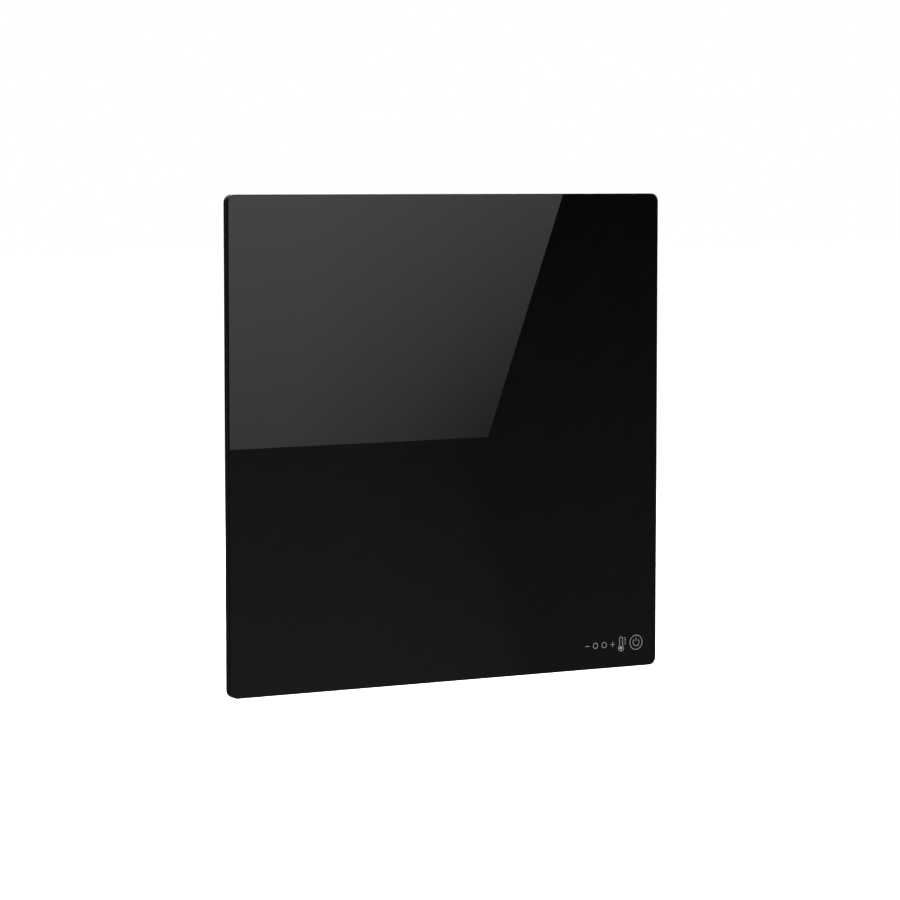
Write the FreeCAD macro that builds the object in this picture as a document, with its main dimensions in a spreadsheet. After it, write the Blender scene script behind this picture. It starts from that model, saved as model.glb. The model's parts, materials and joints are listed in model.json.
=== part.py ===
import FreeCAD, Part
import math
import os
import re
import Sketcher

# A flat glass panel heater on four wall stand-offs, with a control box on its hidden rear side.
# Frame: origin in the wall plane behind the centre of the panel, +Z up, the glass faces -Y,
# +X to the right as seen from the front. All sizes in millimetres.

SIZES = {
    # Glass plate
    "panel_width": 600,
    "panel_height": 600,
    "corner_radius": 10,
    "glass_thickness": 5,
    "glass_arris": 1.2,
    # Rear pan and the bond between it and the glass
    "wall_gap": 33,
    "tray_inset": 0.5,
    "tray_depth": 7.4,
    "sheet_thickness": 0.8,
    "tray_bend": 2.4,
    "rim_edge": 0.6,
    "flange_width": 14,
    "seal_thickness": 0.8,
    "seal_recess": 2.2,
    "seal_width": 9,
    "swage_length": 300,
    "swage_width": 34,
    "swage_pitch": 100,
    "swage_rise": 60,
    "swage_height": 1.5,
    "swage_slope_angle": 45,
    "swage_count": 3,
    # Heating pack inside the pan
    "pack_clearance": 1.5,
    "pack_corner": 4,
    "mica_thickness": 0.5,
    "foil_thickness": 0.2,
    "reflector_thickness": 0.3,
    "element_margin": 10,
    "track_width": 34,
    "track_count": 12,
    "terminal_inset": 12,
    "rivet_radius": 2,
    "rivet_head_radius": 3.6,
    "rivet_head_height": 1,
    "rivet_clearance": 0.1,
    "tag_thickness": 0.8,
    "tag_reach": 8,
    "tag_half_width": 5,
    "tag_barrel_length": 7,
    "tag_window_radius": 11,
    "cutout_length": 22,
    "cutout_height": 8,
    "cutout_thickness": 4.5,
    "cutout_place": 120,
    "pocket_clearance": 1,
    # Element leads
    "lead_radius": 1.3,
    "lead_spacing": 6,
    "lead_bend": 5,
    "grommet_inset": 51,
    "grommet_bore": 5.8,
    "grommet_neck": 7.2,
    "grommet_flange": 9.2,
    "grommet_lip": 0.9,
    "grommet_clearance": 0.1,
    # Stand-offs and their screws
    "standoff_inset_x": 100,
    "standoff_inset_z": 100,
    "standoff_radius": 10.5,
    "standoff_base_radius": 13,
    "standoff_base_height": 3,
    "standoff_chamfer": 1,
    "wall_thread_radius": 2.5,
    "wall_thread_depth": 15,
    "standoff_screw_radius": 2,
    "standoff_screw_length": 12,
    "standoff_head_radius": 4,
    "standoff_head_height": 2.4,
    "standoff_head_edge": 0.8,
    "screw_clearance": 0.1,
    "bore_overrun": 1,
    # Control box tub
    "box_length": 310,
    "box_height": 64,
    "box_side_margin": 20,
    "box_low_margin": 21,
    "box_corner": 6,
    "box_wall": 2,
    "box_edge": 1.8,
    "foot_height": 3,
    "tub_depth": 22,
    "foot_radius": 5,
    "base_screw_inset_x": 21,
    "base_screw_inset_z": 8,
    "base_screw_radius": 2,
    "base_screw_length": 8.5,
    "base_head_radius": 3.5,
    "base_head_height": 2.4,
    "nut_flats": 7,
    "nut_height": 2.2,
    # Lid
    "lid_depth": 4,
    "lid_wall": 1.8,
    "lid_edge": 2.4,
    "lip_depth": 1.6,
    "lip_wall": 1.4,
    "lip_clearance": 0.25,
    "cover_boss_radius": 3.6,
    "cover_boss_inset": 8,
    "cover_post_drop": 1,
    "cover_recess_radius": 3.1,
    "cover_recess_depth": 2,
    "cover_screw_radius": 1.5,
    "cover_screw_length": 12,
    "cover_head_radius": 2.8,
    "cover_head_height": 1.6,
    "cover_head_edge": 0.5,
    # Vents
    "vent_width": 3,
    "vent_length": 34,
    "vent_pitch": 12,
    "vent_count": 14,
    "vent_shift": 15,
    "side_vent_width": 3,
    "side_vent_length": 9,
    "side_vent_pitch": 12,
    "side_vent_count": 15,
    # Circuit board
    "board_left_margin": 60,
    "board_right_margin": 28,
    "board_side_margin": 5,
    "board_thickness": 1.6,
    "board_corner": 2,
    "board_rise": 5,
    "board_boss_radius": 3.2,
    "board_screw_inset_x": 7,
    "board_screw_inset_z": 5,
    "board_screw_radius": 1.25,
    "board_screw_length": 5,
    "board_head_radius": 2.4,
    "board_head_height": 1.5,
    # Parts on the board, each placed from the board's centre
    "relay_length": 29,
    "relay_width": 12.6,
    "relay_height": 14,
    "relay_x": -60,
    "relay_z": -10,
    "relay_edge": 0.8,
    "module_length": 44,
    "module_width": 26,
    "module_height": 13,
    "module_x": -6,
    "module_z": -12,
    "module_edge": 1.5,
    "radio_length": 25,
    "radio_width": 18,
    "radio_board": 0.8,
    "radio_can_length": 17,
    "radio_can_height": 2.4,
    "radio_can_inset": 1,
    "radio_x": 62,
    "radio_z": -12,
    "capacitor_radius": 5,
    "capacitor_height": 13,
    "capacitor_edge": 1,
    "capacitor_x": 30,
    "capacitor_z": 19,
    "fuse_radius": 2.6,
    "fuse_length": 20,
    "fuse_holder_height": 3,
    "fuse_holder_width": 6,
    "fuse_holder_length": 5,
    "fuse_x": -58,
    "fuse_z": 19,
    "sensor_length": 4,
    "sensor_width": 3,
    "sensor_height": 5,
    "sensor_x": 84,
    "sensor_z": -22,
    "led_length": 3.8,
    "led_width": 3,
    "led_height": 5,
    "tab_width": 2.8,
    "tab_thickness": 0.5,
    "tab_length": 9,
    "tab_inset": 8,
    "tab_foot_length": 3,
    "receptacle_width": 5,
    "receptacle_height": 4,
    "receptacle_length": 9,
    "receptacle_clearance": 0.1,
    # Mains terminal block
    "block_length": 27,
    "block_width": 18,
    "block_height": 14,
    "block_step": 2,
    "block_inset": 34,
    "block_pitch": 8,
    "block_entry_radius": 2,
    "block_entry_height": 10,
    "block_well_radius": 2.5,
    "block_well_depth": 8,
    "block_screw_radius": 2,
    "block_screw_height": 2.5,
    # Earth stud
    "earth_inset": 30,
    "earth_z": -21,
    "earth_head_radius": 3.4,
    "earth_head_height": 1,
    "earth_shoulder_radius": 3.2,
    "earth_thread_radius": 2,
    "earth_thread_length": 8,
    "earth_nut_flats": 7,
    "earth_nut_height": 3.2,
    "earth_tag_half_width": 3.6,
    "earth_tag_reach": 6,
    "earth_barrel_radius": 1.8,
    "earth_barrel_length": 4,
    "earth_lead_gap": 4,
    # Power switch in the right end wall
    "control_level": 12,
    "switch_z": 7,
    "switch_width": 14,
    "switch_length": 21,
    "switch_depth": 16,
    "switch_clearance": 0.1,
    "bezel_width": 16.6,
    "bezel_length": 24,
    "bezel_height": 1.8,
    "bezel_corner": 2,
    "rocker_well_width": 11,
    "rocker_well_length": 17.6,
    "rocker_well_depth": 8.4,
    "rocker_clearance": 0.3,
    "rocker_pivot_depth": 2.2,
    "rocker_end_rise": 3.2,
    "rocker_middle_rise": 2,
    "rocker_base_drop": 3,
    "rocker_pin_radius": 1,
    "rocker_pin_clearance": 0.06,
    "rocker_pin_reach": 0.8,
    "rocker_tilt_angle": 8,
    "wire_radius": 1.1,
    "wire_bend": 2.4,
    # Pairing button in the right end wall
    "button_z": -11,
    "button_radius": 3.9,
    "button_clearance": 0.3,
    "button_proud": 1.6,
    "button_round": 0.8,
    "button_flange_radius": 5.2,
    "button_flange_height": 1.5,
    "button_stem_radius": 1.6,
    "button_travel": 1.2,
    "tact_length": 4.5,
    "tact_width": 6,
    "tact_height": 6.4,
    "tact_bore_depth": 3,
    "plunger_radius": 1.5,
    "plunger_length": 3.5,
    # Light pipe
    "pipe_z": -18.5,
    "pipe_radius": 1.25,
    "pipe_clearance": 0.05,
    "pipe_proud": 0.6,
    # Cable gland in the left end wall
    "gland_z": 7,
    "gland_thread_radius": 7,
    "gland_bore_radius": 5,
    "gland_clearance": 0.1,
    "gland_flats": 18,
    "gland_collar_length": 4,
    "gland_neck_length": 7,
    "gland_neck_radius": 7.2,
    "gland_inner_length": 7,
    "gland_nut_flats": 16,
    "gland_nut_height": 4,
    "gland_cap_radius": 9,
    "gland_cap_length": 12,
    "gland_cap_mouth_radius": 4.6,
    "gland_cap_edge": 2,
    "gland_seal_bore_radius": 3.6,
    "gland_seal_length": 8,
}

# Lengths worked out from the sizes above. Each "out" is a distance from the wall plane.
DERIVED = {
    "tray_width": "panel_width - 2 * tray_inset",
    "tray_height": "panel_height - 2 * tray_inset",
    "tray_corner": "corner_radius - tray_inset",
    "tray_front_out": "wall_gap + tray_depth",
    "tray_floor_out": "wall_gap + sheet_thickness",
    "glass_rear_out": "tray_front_out + seal_thickness",
    "front_mica_out": "glass_rear_out - mica_thickness",
    "foil_out": "front_mica_out - foil_thickness",
    "rear_mica_out": "foil_out - mica_thickness",
    "reflector_out": "rear_mica_out - reflector_thickness",
    "mat_thickness": "reflector_out - tray_floor_out",
    "pack_width": "tray_width - 2 * flange_width - 2 * pack_clearance",
    "pack_height": "tray_height - 2 * flange_width - 2 * pack_clearance",
    "heated_width": "pack_width - 2 * element_margin",
    "heated_height": "pack_height - 2 * element_margin",
    "track_pitch": "(heated_width - track_width) / (track_count - 1)",
    "bend_outside": "(track_pitch + track_width) / 2",
    "bend_inside": "(track_pitch - track_width) / 2",
    "track_reach": "heated_height / 2 - bend_outside",
    "first_track": "(track_width - heated_width) / 2",
    "terminal_x": "heated_width / 2 - track_width / 2",
    "terminal_z": "terminal_inset - heated_height / 2",
    "lead_out": "tray_floor_out + mat_thickness / 2",
    "tag_barrel": "rear_mica_out - tag_thickness / 2 - lead_out",
    "channel_height": "lead_spacing + 2 * tag_barrel + pocket_clearance",
    "box_x": "panel_width / 2 - box_side_margin - box_length / 2",
    "box_z": "box_low_margin + box_height / 2 - panel_height / 2",
    "tub_out": "wall_gap - foot_height",
    "floor_out": "tub_out - box_wall",
    "rim_out": "tub_out - tub_depth",
    "lid_out": "rim_out - lid_depth",
    "board_length": "box_length - board_left_margin - board_right_margin",
    "board_height": "box_height - 2 * board_side_margin",
    "board_shift": "(board_left_margin - board_right_margin) / 2",
    "board_x": "box_x + board_shift",
    "board_front_out": "floor_out - board_rise",
    "board_top_out": "board_front_out - board_thickness",
    "board_right": "board_shift + board_length / 2",
    "control_out": "tub_out - control_level",
    "grommet_x": "box_x - box_length / 2 + grommet_inset",
    "block_x": "block_inset - box_length / 2",
    "block_z": "switch_z - block_pitch / 2",
    "earth_x": "earth_inset - box_length / 2",
    "earth_lead_x": "block_x + block_width / 2 + earth_lead_gap",
    "earth_shoulder_rise": "block_entry_height - earth_barrel_radius",
    "base_screw_x": "box_length / 2 - base_screw_inset_x",
    "base_screw_z": "box_height / 2 - base_screw_inset_z",
    "cover_screw_x": "box_length / 2 - cover_boss_inset",
    "cover_screw_z": "box_height / 2 - cover_boss_inset",
    "board_screw_x": "board_length / 2 - board_screw_inset_x",
    "board_screw_z": "board_height / 2 - board_screw_inset_z",
    "standoff_x": "panel_width / 2 - standoff_inset_x",
    "standoff_z": "panel_height / 2 - standoff_inset_z",
    "rocker_end_radius": "rocker_well_length / 2 - rocker_clearance",
    "rocker_half_width": "rocker_well_width / 2 - rocker_clearance",
    "plunger_face": "board_right + plunger_length - tact_bore_depth + button_travel + button_clearance",
    "tab_x": "tab_inset - board_length / 2",
}

doc = FreeCAD.newDocument("panel_heater")
sheet = doc.addObject("Spreadsheet::Sheet", "Sizes")
for row, (size_name, number) in enumerate(SIZES.items(), start=1):
    sheet.set(f"A{row}", size_name)
    sheet.set(f"B{row}", str(number))
    sheet.setAlias(f"B{row}", size_name)
doc.recompute()

pieces = []


def bound(text):
    """The expression with each size pointed at its cell and each derived length written out."""

    def cell(match):
        word = match.group(0)
        if word in DERIVED:
            return f"({bound(DERIVED[word])})"
        return f"Sizes.{word}" if word in SIZES else word

    return re.sub(r"[a-z][a-z_]*", cell, str(text))


def value(text):
    """The number that an expression in the named sizes comes to."""
    return float(sheet.evalExpression(bound(text)))


def piece(name, x=0, y=0, z=0):
    """A body with its own origin at x, y, z."""
    body = doc.addObject("PartDesign::Body", name)
    body.Label = name
    for axis, place in zip("xyz", (x, y, z)):
        body.setExpression(f"Placement.Base.{axis}", bound(place))
    pieces.append(body)
    return body


def origin_feature(body, role):
    """The body's own origin plane or axis with this role."""
    return next(item for item in body.Origin.OriginFeatures if item.Role == role)


def sketch(body, name, plane="XZ_Plane", offset=0):
    """A sketch on one of the body's origin planes, moved along the plane's normal."""
    drawn = body.newObject("Sketcher::SketchObject", name)
    drawn.AttachmentSupport = [(origin_feature(body, plane), "")]
    drawn.MapMode = "FlatFace"
    drawn.setExpression("AttachmentOffset.Base.z", bound(offset))
    return drawn


def fix(drawn, kind, *where, to):
    """Add a dimension to a sketch and bind it."""
    number = drawn.addConstraint(Sketcher.Constraint(kind, *where, value(to)))
    label = f"size{number}"
    drawn.renameConstraint(number, label)
    drawn.setExpression(f"Constraints.{label}", bound(to))


def fix_point(drawn, geometry, end, x, y):
    """Bind both coordinates of a point."""
    fix(drawn, "DistanceX", -1, 1, geometry, end, to=x)
    fix(drawn, "DistanceY", -1, 1, geometry, end, to=y)


def circle(drawn, x, y, radius):
    """A circle about a bound centre."""
    shape = Part.Circle(FreeCAD.Vector(value(x), value(y), 0), FreeCAD.Vector(0, 0, 1), value(radius))
    number = drawn.addGeometry(shape, False)
    fix_point(drawn, number, 3, x, y)
    fix(drawn, "Radius", number, to=radius)


def circles(drawn, spots, radius):
    """Circles of one radius at several spots."""
    for x, y in spots:
        circle(drawn, x, y, radius)


def polygon(drawn, points):
    """A closed outline of straight edges with every corner bound."""
    corners = [FreeCAD.Vector(value(x), value(y), 0) for x, y in points]
    first = drawn.GeometryCount
    for start, end in zip(corners, corners[1:] + corners[:1]):
        drawn.addGeometry(Part.LineSegment(start, end), False)
    for number, (x, y) in enumerate(points):
        after = first + (number + 1) % len(points)
        drawn.addConstraint(Sketcher.Constraint("Coincident", first + number, 2, after, 1))
        fix_point(drawn, first + number, 1, x, y)


def rectangle(drawn, x, y, width, height):
    """A rectangle about the centre x, y."""
    left = f"({x}) - ({width}) / 2"
    right = f"({x}) + ({width}) / 2"
    low = f"({y}) - ({height}) / 2"
    high = f"({y}) + ({height}) / 2"
    polygon(drawn, [(left, low), (right, low), (right, high), (left, high)])


def arc_between(start_angle, end_angle, x, y, radius):
    """An arc of a circle about x, y."""
    whole = Part.Circle(FreeCAD.Vector(x, y, 0), FreeCAD.Vector(0, 0, 1), radius)
    return Part.ArcOfCircle(whole, start_angle, end_angle)


def rounded(drawn, x, y, width, height, radius):
    """A rectangle about x, y with four tangent corner arcs."""
    centre_x, centre_y, corner = value(x), value(y), value(radius)
    half_x, half_y = value(width) / 2, value(height) / 2
    first = drawn.GeometryCount
    inner_x, inner_y = half_x - corner, half_y - corner
    turns = [(1, -1), (1, 1), (-1, 1), (-1, -1)]
    ends = []
    for number, (side_x, side_y) in enumerate(turns):
        start = math.pi * (number - 1) / 2
        turn_x, turn_y = centre_x + side_x * inner_x, centre_y + side_y * inner_y
        drawn.addGeometry(arc_between(start, start + math.pi / 2, turn_x, turn_y, corner), False)
        ends.append((turn_x, turn_y, start))
    for number in range(4):
        turn_x, turn_y, start = ends[number]
        next_x, next_y, following = ends[(number + 1) % 4]
        leave = start + math.pi / 2
        begin = FreeCAD.Vector(turn_x + corner * math.cos(leave), turn_y + corner * math.sin(leave), 0)
        finish = FreeCAD.Vector(
            next_x + corner * math.cos(following), next_y + corner * math.sin(following), 0
        )
        drawn.addGeometry(Part.LineSegment(begin, finish), False)
    for number in range(4):
        line, after = first + 4 + number, first + (number + 1) % 4
        drawn.addConstraint(Sketcher.Constraint("Tangent", first + number, 2, line, 1))
        drawn.addConstraint(Sketcher.Constraint("Tangent", line, 2, after, 1))
        fix_point(
            drawn,
            first + number,
            3,
            f"({x}) + {turns[number][0]} * (({width}) / 2 - ({radius}))",
            f"({y}) + {turns[number][1]} * (({height}) / 2 - ({radius}))",
        )
    fix(drawn, "Radius", first, to=radius)


def slot(drawn, x, y, width, length):
    """An upright slot with round ends about x, y."""
    radius, reach = value(width) / 2, (value(length) - value(width)) / 2
    centre_x, centre_y = value(x), value(y)
    first = drawn.GeometryCount
    drawn.addGeometry(arc_between(0, math.pi, centre_x, centre_y + reach, radius), False)
    drawn.addGeometry(arc_between(math.pi, 2 * math.pi, centre_x, centre_y - reach, radius), False)
    corners = [(-radius, reach), (-radius, -reach), (radius, -reach), (radius, reach)]
    spots = [FreeCAD.Vector(centre_x + step_x, centre_y + step_y, 0) for step_x, step_y in corners]
    drawn.addGeometry(Part.LineSegment(spots[0], spots[1]), False)
    drawn.addGeometry(Part.LineSegment(spots[2], spots[3]), False)
    joins = [(first, 2, first + 2, 1), (first + 2, 2, first + 1, 1)]
    joins += [(first + 1, 2, first + 3, 1), (first + 3, 2, first, 1)]
    for join in joins:
        drawn.addConstraint(Sketcher.Constraint("Tangent", *join))
    fix_point(drawn, first, 3, x, f"({y}) + (({length}) - ({width})) / 2")
    fix_point(drawn, first + 1, 3, x, f"({y}) - (({length}) - ({width})) / 2")
    fix(drawn, "Radius", first, to=f"({width}) / 2")


def hexagon(drawn, x, y, flats):
    """A regular hexagon about x, y with two upright flats."""
    half, side = f"({flats}) / 2", f"({flats}) / sqrt(3)"
    steps = [(half, f"-{side} / 2"), (half, f"{side} / 2"), ("0", side)]
    steps += [(f"-{half}", f"{side} / 2"), (f"-{half}", f"-{side} / 2"), ("0", f"-{side}")]
    polygon(drawn, [(f"({x}) + {step_x}", f"({y}) + {step_y}") for step_x, step_y in steps])


def pad(body, drawn, length, back=False, both=False, taper=None):
    """Raise a sketch along its normal, or against it."""
    raised = body.newObject("PartDesign::Pad", f"{drawn.Name}_pad")
    raised.Profile = drawn
    raised.setExpression("Length", bound(length))
    raised.Reversed = back
    raised.Midplane = both
    if taper:
        raised.setExpression("TaperAngle", bound(taper))
    drawn.Visibility = False
    return raised


def cut(body, drawn, depth=None, back=False, both=False):
    """Cut a sketch along its normal, or against it; right through when no depth is given."""
    taken = body.newObject("PartDesign::Pocket", f"{drawn.Name}_cut")
    taken.Profile = drawn
    if depth is None:
        taken.Type = 1
    else:
        taken.setExpression("Length", bound(depth))
    taken.Reversed = not back
    taken.Midplane = both
    drawn.Visibility = False
    return taken


def turned(body, drawn, axis="V_Axis"):
    """Turn a half outline about an axis of its sketch."""
    lathe = body.newObject("PartDesign::Revolution", f"{drawn.Name}_turned")
    lathe.Profile = drawn
    lathe.ReferenceAxis = (drawn, [axis])
    lathe.Angle = 360
    return lathe


def dressed(body, kind, base, size, chosen):
    """A Fillet or Chamfer on the edges that a test picks from the base feature."""
    doc.recompute()
    names = [f"Edge{i}" for i, edge in enumerate(base.Shape.Edges, start=1) if chosen(edge.BoundBox)]
    dressing = body.newObject(f"PartDesign::{kind}", f"{base.Name}_{kind.lower()}")
    dressing.Base = (base, names)
    dressing.setExpression("Radius" if kind == "Fillet" else "Size", bound(size))
    return dressing


def repeated(body, original, pitch, count, axis="X_Axis"):
    """A row of copies of one feature."""
    row_of = body.newObject("PartDesign::LinearPattern", f"{original.Name}_row")
    row_of.Originals = [original]
    row_of.Direction = (origin_feature(body, axis), [""])
    row_of.setExpression("Length", bound(f"({pitch}) * (({count}) - 1)"))
    row_of.setExpression("Occurrences", bound(count))
    body.Tip = row_of
    return row_of


def near(first, second):
    """Whether two lengths are the same to within a rounding error."""
    return abs(first - second) < Part.Precision.confusion()


def reach(low, high):
    """How far an edge gets from the middle of its body."""
    return max(abs(low), abs(high))


def level(y):
    """A test for edges that lie in the plane of one depth."""
    return lambda box: near(box.YMin, y) and near(box.YMax, y)


def faces_at(feature, y):
    """The names of a feature's faces that reach no further back than one depth."""
    return [f"Face{i}" for i, face in enumerate(feature.Shape.Faces, start=1) if near(face.BoundBox.YMax, y)]


def corners_of(x, z):
    """The four corners of a rectangle about the origin."""
    return [(f"{side_x} * ({x})", f"{side_z} * ({z})") for side_x in (-1, 1) for side_z in (-1, 1)]


def route(drawn, corners, radius):
    """An open path of square turns, each rounded by the same radius."""
    places = [(value(x), value(y)) for x, y in corners]
    runs = []
    for number in range(len(corners) - 1):
        (start_x, start_y), (end_x, end_y) = places[number], places[number + 1]
        along_x = near(start_y, end_y)
        forward = math.copysign(1, (end_x - start_x) if along_x else (end_y - start_y))
        ends = []
        for which, trimmed, sign in ((number, number > 0, 1), (number + 1, number + 2 < len(corners), -1)):
            x, y = corners[which]
            step = f" + {int(sign * forward)} * ({radius})" if trimmed else ""
            ends.append((f"({x}){step}", y) if along_x else (x, f"({y}){step}"))
        runs.append(ends)
    for start, end in runs:
        points = [FreeCAD.Vector(value(x), value(y), 0) for x, y in (start, end)]
        line = drawn.addGeometry(Part.LineSegment(*points), False)
        fix_point(drawn, line, 1, *start)
        fix_point(drawn, line, 2, *end)
    for number in range(len(runs) - 1):
        corner = FreeCAD.Vector(*places[number + 1], 0)
        before = FreeCAD.Vector(*[value(part) for part in runs[number][1]], 0)
        after = FreeCAD.Vector(*[value(part) for part in runs[number + 1][0]], 0)
        centre = before + after - corner
        angles = [math.atan2(point.y - centre.y, point.x - centre.x) for point in (before, after)]
        leftward = (corner - before).cross(after - corner).z > 0
        start, end = angles if leftward else reversed(angles)
        bend = drawn.addGeometry(
            arc_between(start, end + (2 * math.pi if end < start else 0), centre.x, centre.y, value(radius)),
            False,
        )
        first_end, last_end = (1, 2) if leftward else (2, 1)
        drawn.addConstraint(Sketcher.Constraint("Tangent", number, 2, bend, first_end))
        drawn.addConstraint(Sketcher.Constraint("Coincident", bend, last_end, number + 1, 1))


def wire(body, name, plane, offset, corners, radius, bend, end_plane, end_offset):
    """A round lead swept along a route; its section lies on another origin plane at the route's start."""
    path = sketch(body, f"{name}_path", plane, offset)
    route(path, corners, bend)
    section = sketch(body, f"{name}_section", end_plane, end_offset[0])
    circle(section, end_offset[1], end_offset[2], radius)
    swept = body.newObject("PartDesign::AdditivePipe", f"{name}_pipe")
    swept.Profile = section
    swept.Spine = path
    return swept


# Glass plate: the whole front of the heater, with both edges of its rim ground to an arris.
def make_front_glass():
    body = piece("front_glass", y="-glass_rear_out")
    outline = sketch(body, "glass_outline")
    rounded(outline, 0, 0, "panel_width", "panel_height", "corner_radius")
    plate = pad(body, outline, "glass_thickness")
    dressed(body, "Chamfer", plate, "glass_arris", lambda box: near(box.YMin, box.YMax))


# Bond between the glass and the pan's rim, set back from the edge so that a groove shows.
def make_perimeter_seal():
    body = piece("perimeter_seal", y="-tray_front_out")
    ring = sketch(body, "seal_outline")
    for inset in ("seal_recess", "(seal_recess + seal_width)"):
        width, height = f"tray_width - 2 * {inset}", f"tray_height - 2 * {inset}"
        rounded(ring, 0, 0, width, height, f"tray_corner - {inset} / 2")
    pad(body, ring, "seal_thickness")


# Rear pan: pressed from sheet, with rolled edges, stiffening swages and a rim turned in towards the glass.
def make_rear_tray():
    body = piece("rear_tray", y="-wall_gap")
    outline = sketch(body, "tray_outline")
    rounded(outline, 0, 0, "tray_width", "tray_height", "tray_corner")
    form = pad(body, outline, "tray_depth")
    swage = sketch(body, "swage_outline")
    low = "swage_rise - swage_pitch * (swage_count - 1) / 2"
    rounded(swage, 0, low, "swage_length", "swage_width", "swage_width / 2 - sheet_thickness / 2")
    raised = pad(body, swage, "swage_height", back=True, taper="-swage_slope_angle")
    swages = repeated(body, raised, "swage_pitch", "swage_count", "Z_Axis")
    doc.recompute()
    edge = value("swage_length / 2 + swage_width")
    rolled = dressed(
        body,
        "Fillet",
        swages,
        "tray_bend",
        lambda box: near(box.YMin, 0) and near(box.YMax, 0) and max(abs(box.XMin), abs(box.XMax)) > edge,
    )
    doc.recompute()
    shell = body.newObject("PartDesign::Thickness", "tray_shell")
    front = value("-tray_depth")
    shell.Base = (rolled, faces_at(rolled, front))
    shell.setExpression("Value", bound("sheet_thickness"))
    shell.Reversed = True
    shell.Join = "Intersection"
    rim = sketch(body, "tray_rim", offset="tray_depth - sheet_thickness")
    wall = "sheet_thickness / 2"
    rounded(rim, 0, 0, f"tray_width - 2 * {wall}", f"tray_height - 2 * {wall}", f"tray_corner - {wall}")
    rounded(rim, 0, 0, "tray_width - 2 * flange_width", "tray_height - 2 * flange_width", "pack_corner")
    flange = pad(body, rim, "sheet_thickness")
    doc.recompute()
    side = value("tray_width / 2 - flange_width / 2")
    upright = value("tray_height / 2 - flange_width / 2")
    dressed(
        body,
        "Chamfer",
        flange,
        "rim_edge",
        lambda box: level(front)(box)
        and (reach(box.XMin, box.XMax) > side or reach(box.ZMin, box.ZMax) > upright),
    )
    holes = sketch(body, "tray_holes")
    circles(holes, corners_of("standoff_x", "standoff_z"), "standoff_screw_radius + screw_clearance")
    for x, z in corners_of("base_screw_x", "base_screw_z"):
        circle(holes, f"box_x + {x}", f"box_z + {z}", "base_screw_radius + screw_clearance")
    circle(holes, "grommet_x", "terminal_z", "grommet_neck + grommet_clearance")
    circle(holes, "box_x + earth_x", "box_z + earth_z", "earth_thread_radius + screw_clearance")
    cut(body, holes)


# Two mica sheets that hold the element between them.
def make_mica_sheets():
    front = piece("front_mica_sheet", y="-front_mica_out")
    outline = sketch(front, "front_mica_outline")
    rounded(outline, 0, 0, "pack_width", "pack_height", "pack_corner")
    pad(front, outline, "mica_thickness")
    rear = piece("rear_mica_sheet", y="-rear_mica_out")
    outline = sketch(rear, "rear_mica_outline")
    rounded(outline, 0, 0, "pack_width", "pack_height", "pack_corner")
    for side in (-1, 1):
        circle(outline, f"{side} * terminal_x", "terminal_z", "rivet_radius + rivet_clearance")
    pad(rear, outline, "mica_thickness")


# Heating element: one etched track that winds from terminal to terminal in half-round bends.
def make_heating_foil():
    body = piece("heating_foil", y="-foil_out")
    strip = sketch(body, "track")
    rectangle(strip, "first_track", 0, "track_width", "2 * track_reach")
    tracks = pad(body, strip, "foil_thickness")
    repeated(body, tracks, "track_pitch", "track_count")
    for name, side, count, first in (
        ("top_bend", 1, "track_count / 2", "first_track + track_pitch / 2"),
        ("low_bend", -1, "track_count / 2 - 1", "first_track + track_pitch * 3 / 2"),
    ):
        bend = sketch(body, name)
        half_ring(bend, first, f"{side} * track_reach", side)
        repeated(body, pad(body, bend, "foil_thickness"), "2 * track_pitch", count)
    ends = sketch(body, "terminal_ends")
    for side in (-1, 1):
        low = "-(track_reach + bend_outside / 2)"
        rectangle(ends, f"{side} * terminal_x", low, "track_width", "bend_outside")
    pad(body, ends, "foil_thickness")
    holes = sketch(body, "terminal_holes")
    for side in (-1, 1):
        circle(holes, f"{side} * terminal_x", "terminal_z", "rivet_radius + rivet_clearance")
    cut(body, holes)


def half_ring(drawn, x, y, side):
    """Half of a flat ring, open towards the middle of the element."""
    centre_x, centre_y = value(x), value(y)
    start = 0 if side > 0 else math.pi
    for radius in ("bend_outside", "bend_inside"):
        drawn.addGeometry(arc_between(start, start + math.pi, centre_x, centre_y, value(radius)), False)
        fix_point(drawn, drawn.GeometryCount - 1, 3, x, y)
        fix(drawn, "Radius", drawn.GeometryCount - 1, to=radius)
    for end in (1, 2):
        sign = side if end == 1 else -side
        outer = FreeCAD.Vector(centre_x + sign * value("bend_outside"), centre_y, 0)
        inner = FreeCAD.Vector(centre_x + sign * value("bend_inside"), centre_y, 0)
        line = drawn.addGeometry(Part.LineSegment(outer, inner), False)
        drawn.addConstraint(Sketcher.Constraint("Coincident", line, 1, 0, end))
        drawn.addConstraint(Sketcher.Constraint("Coincident", line, 2, 1, end))
        drawn.addConstraint(Sketcher.Constraint("Horizontal", line))


# Reflector with a window round each terminal.
def make_reflector_foil():
    body = piece("reflector_foil", y="-reflector_out")
    outline = sketch(body, "reflector_outline")
    rounded(outline, 0, 0, "pack_width", "pack_height", "pack_corner")
    for side in (-1, 1):
        middle = f"{side} * (terminal_x - tag_reach / 2)"
        width, height = "2 * tag_window_radius + tag_reach", "2 * (tag_half_width + pocket_clearance)"
        rectangle(outline, middle, "terminal_z", width, height)
    pad(body, outline, "reflector_thickness")


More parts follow.
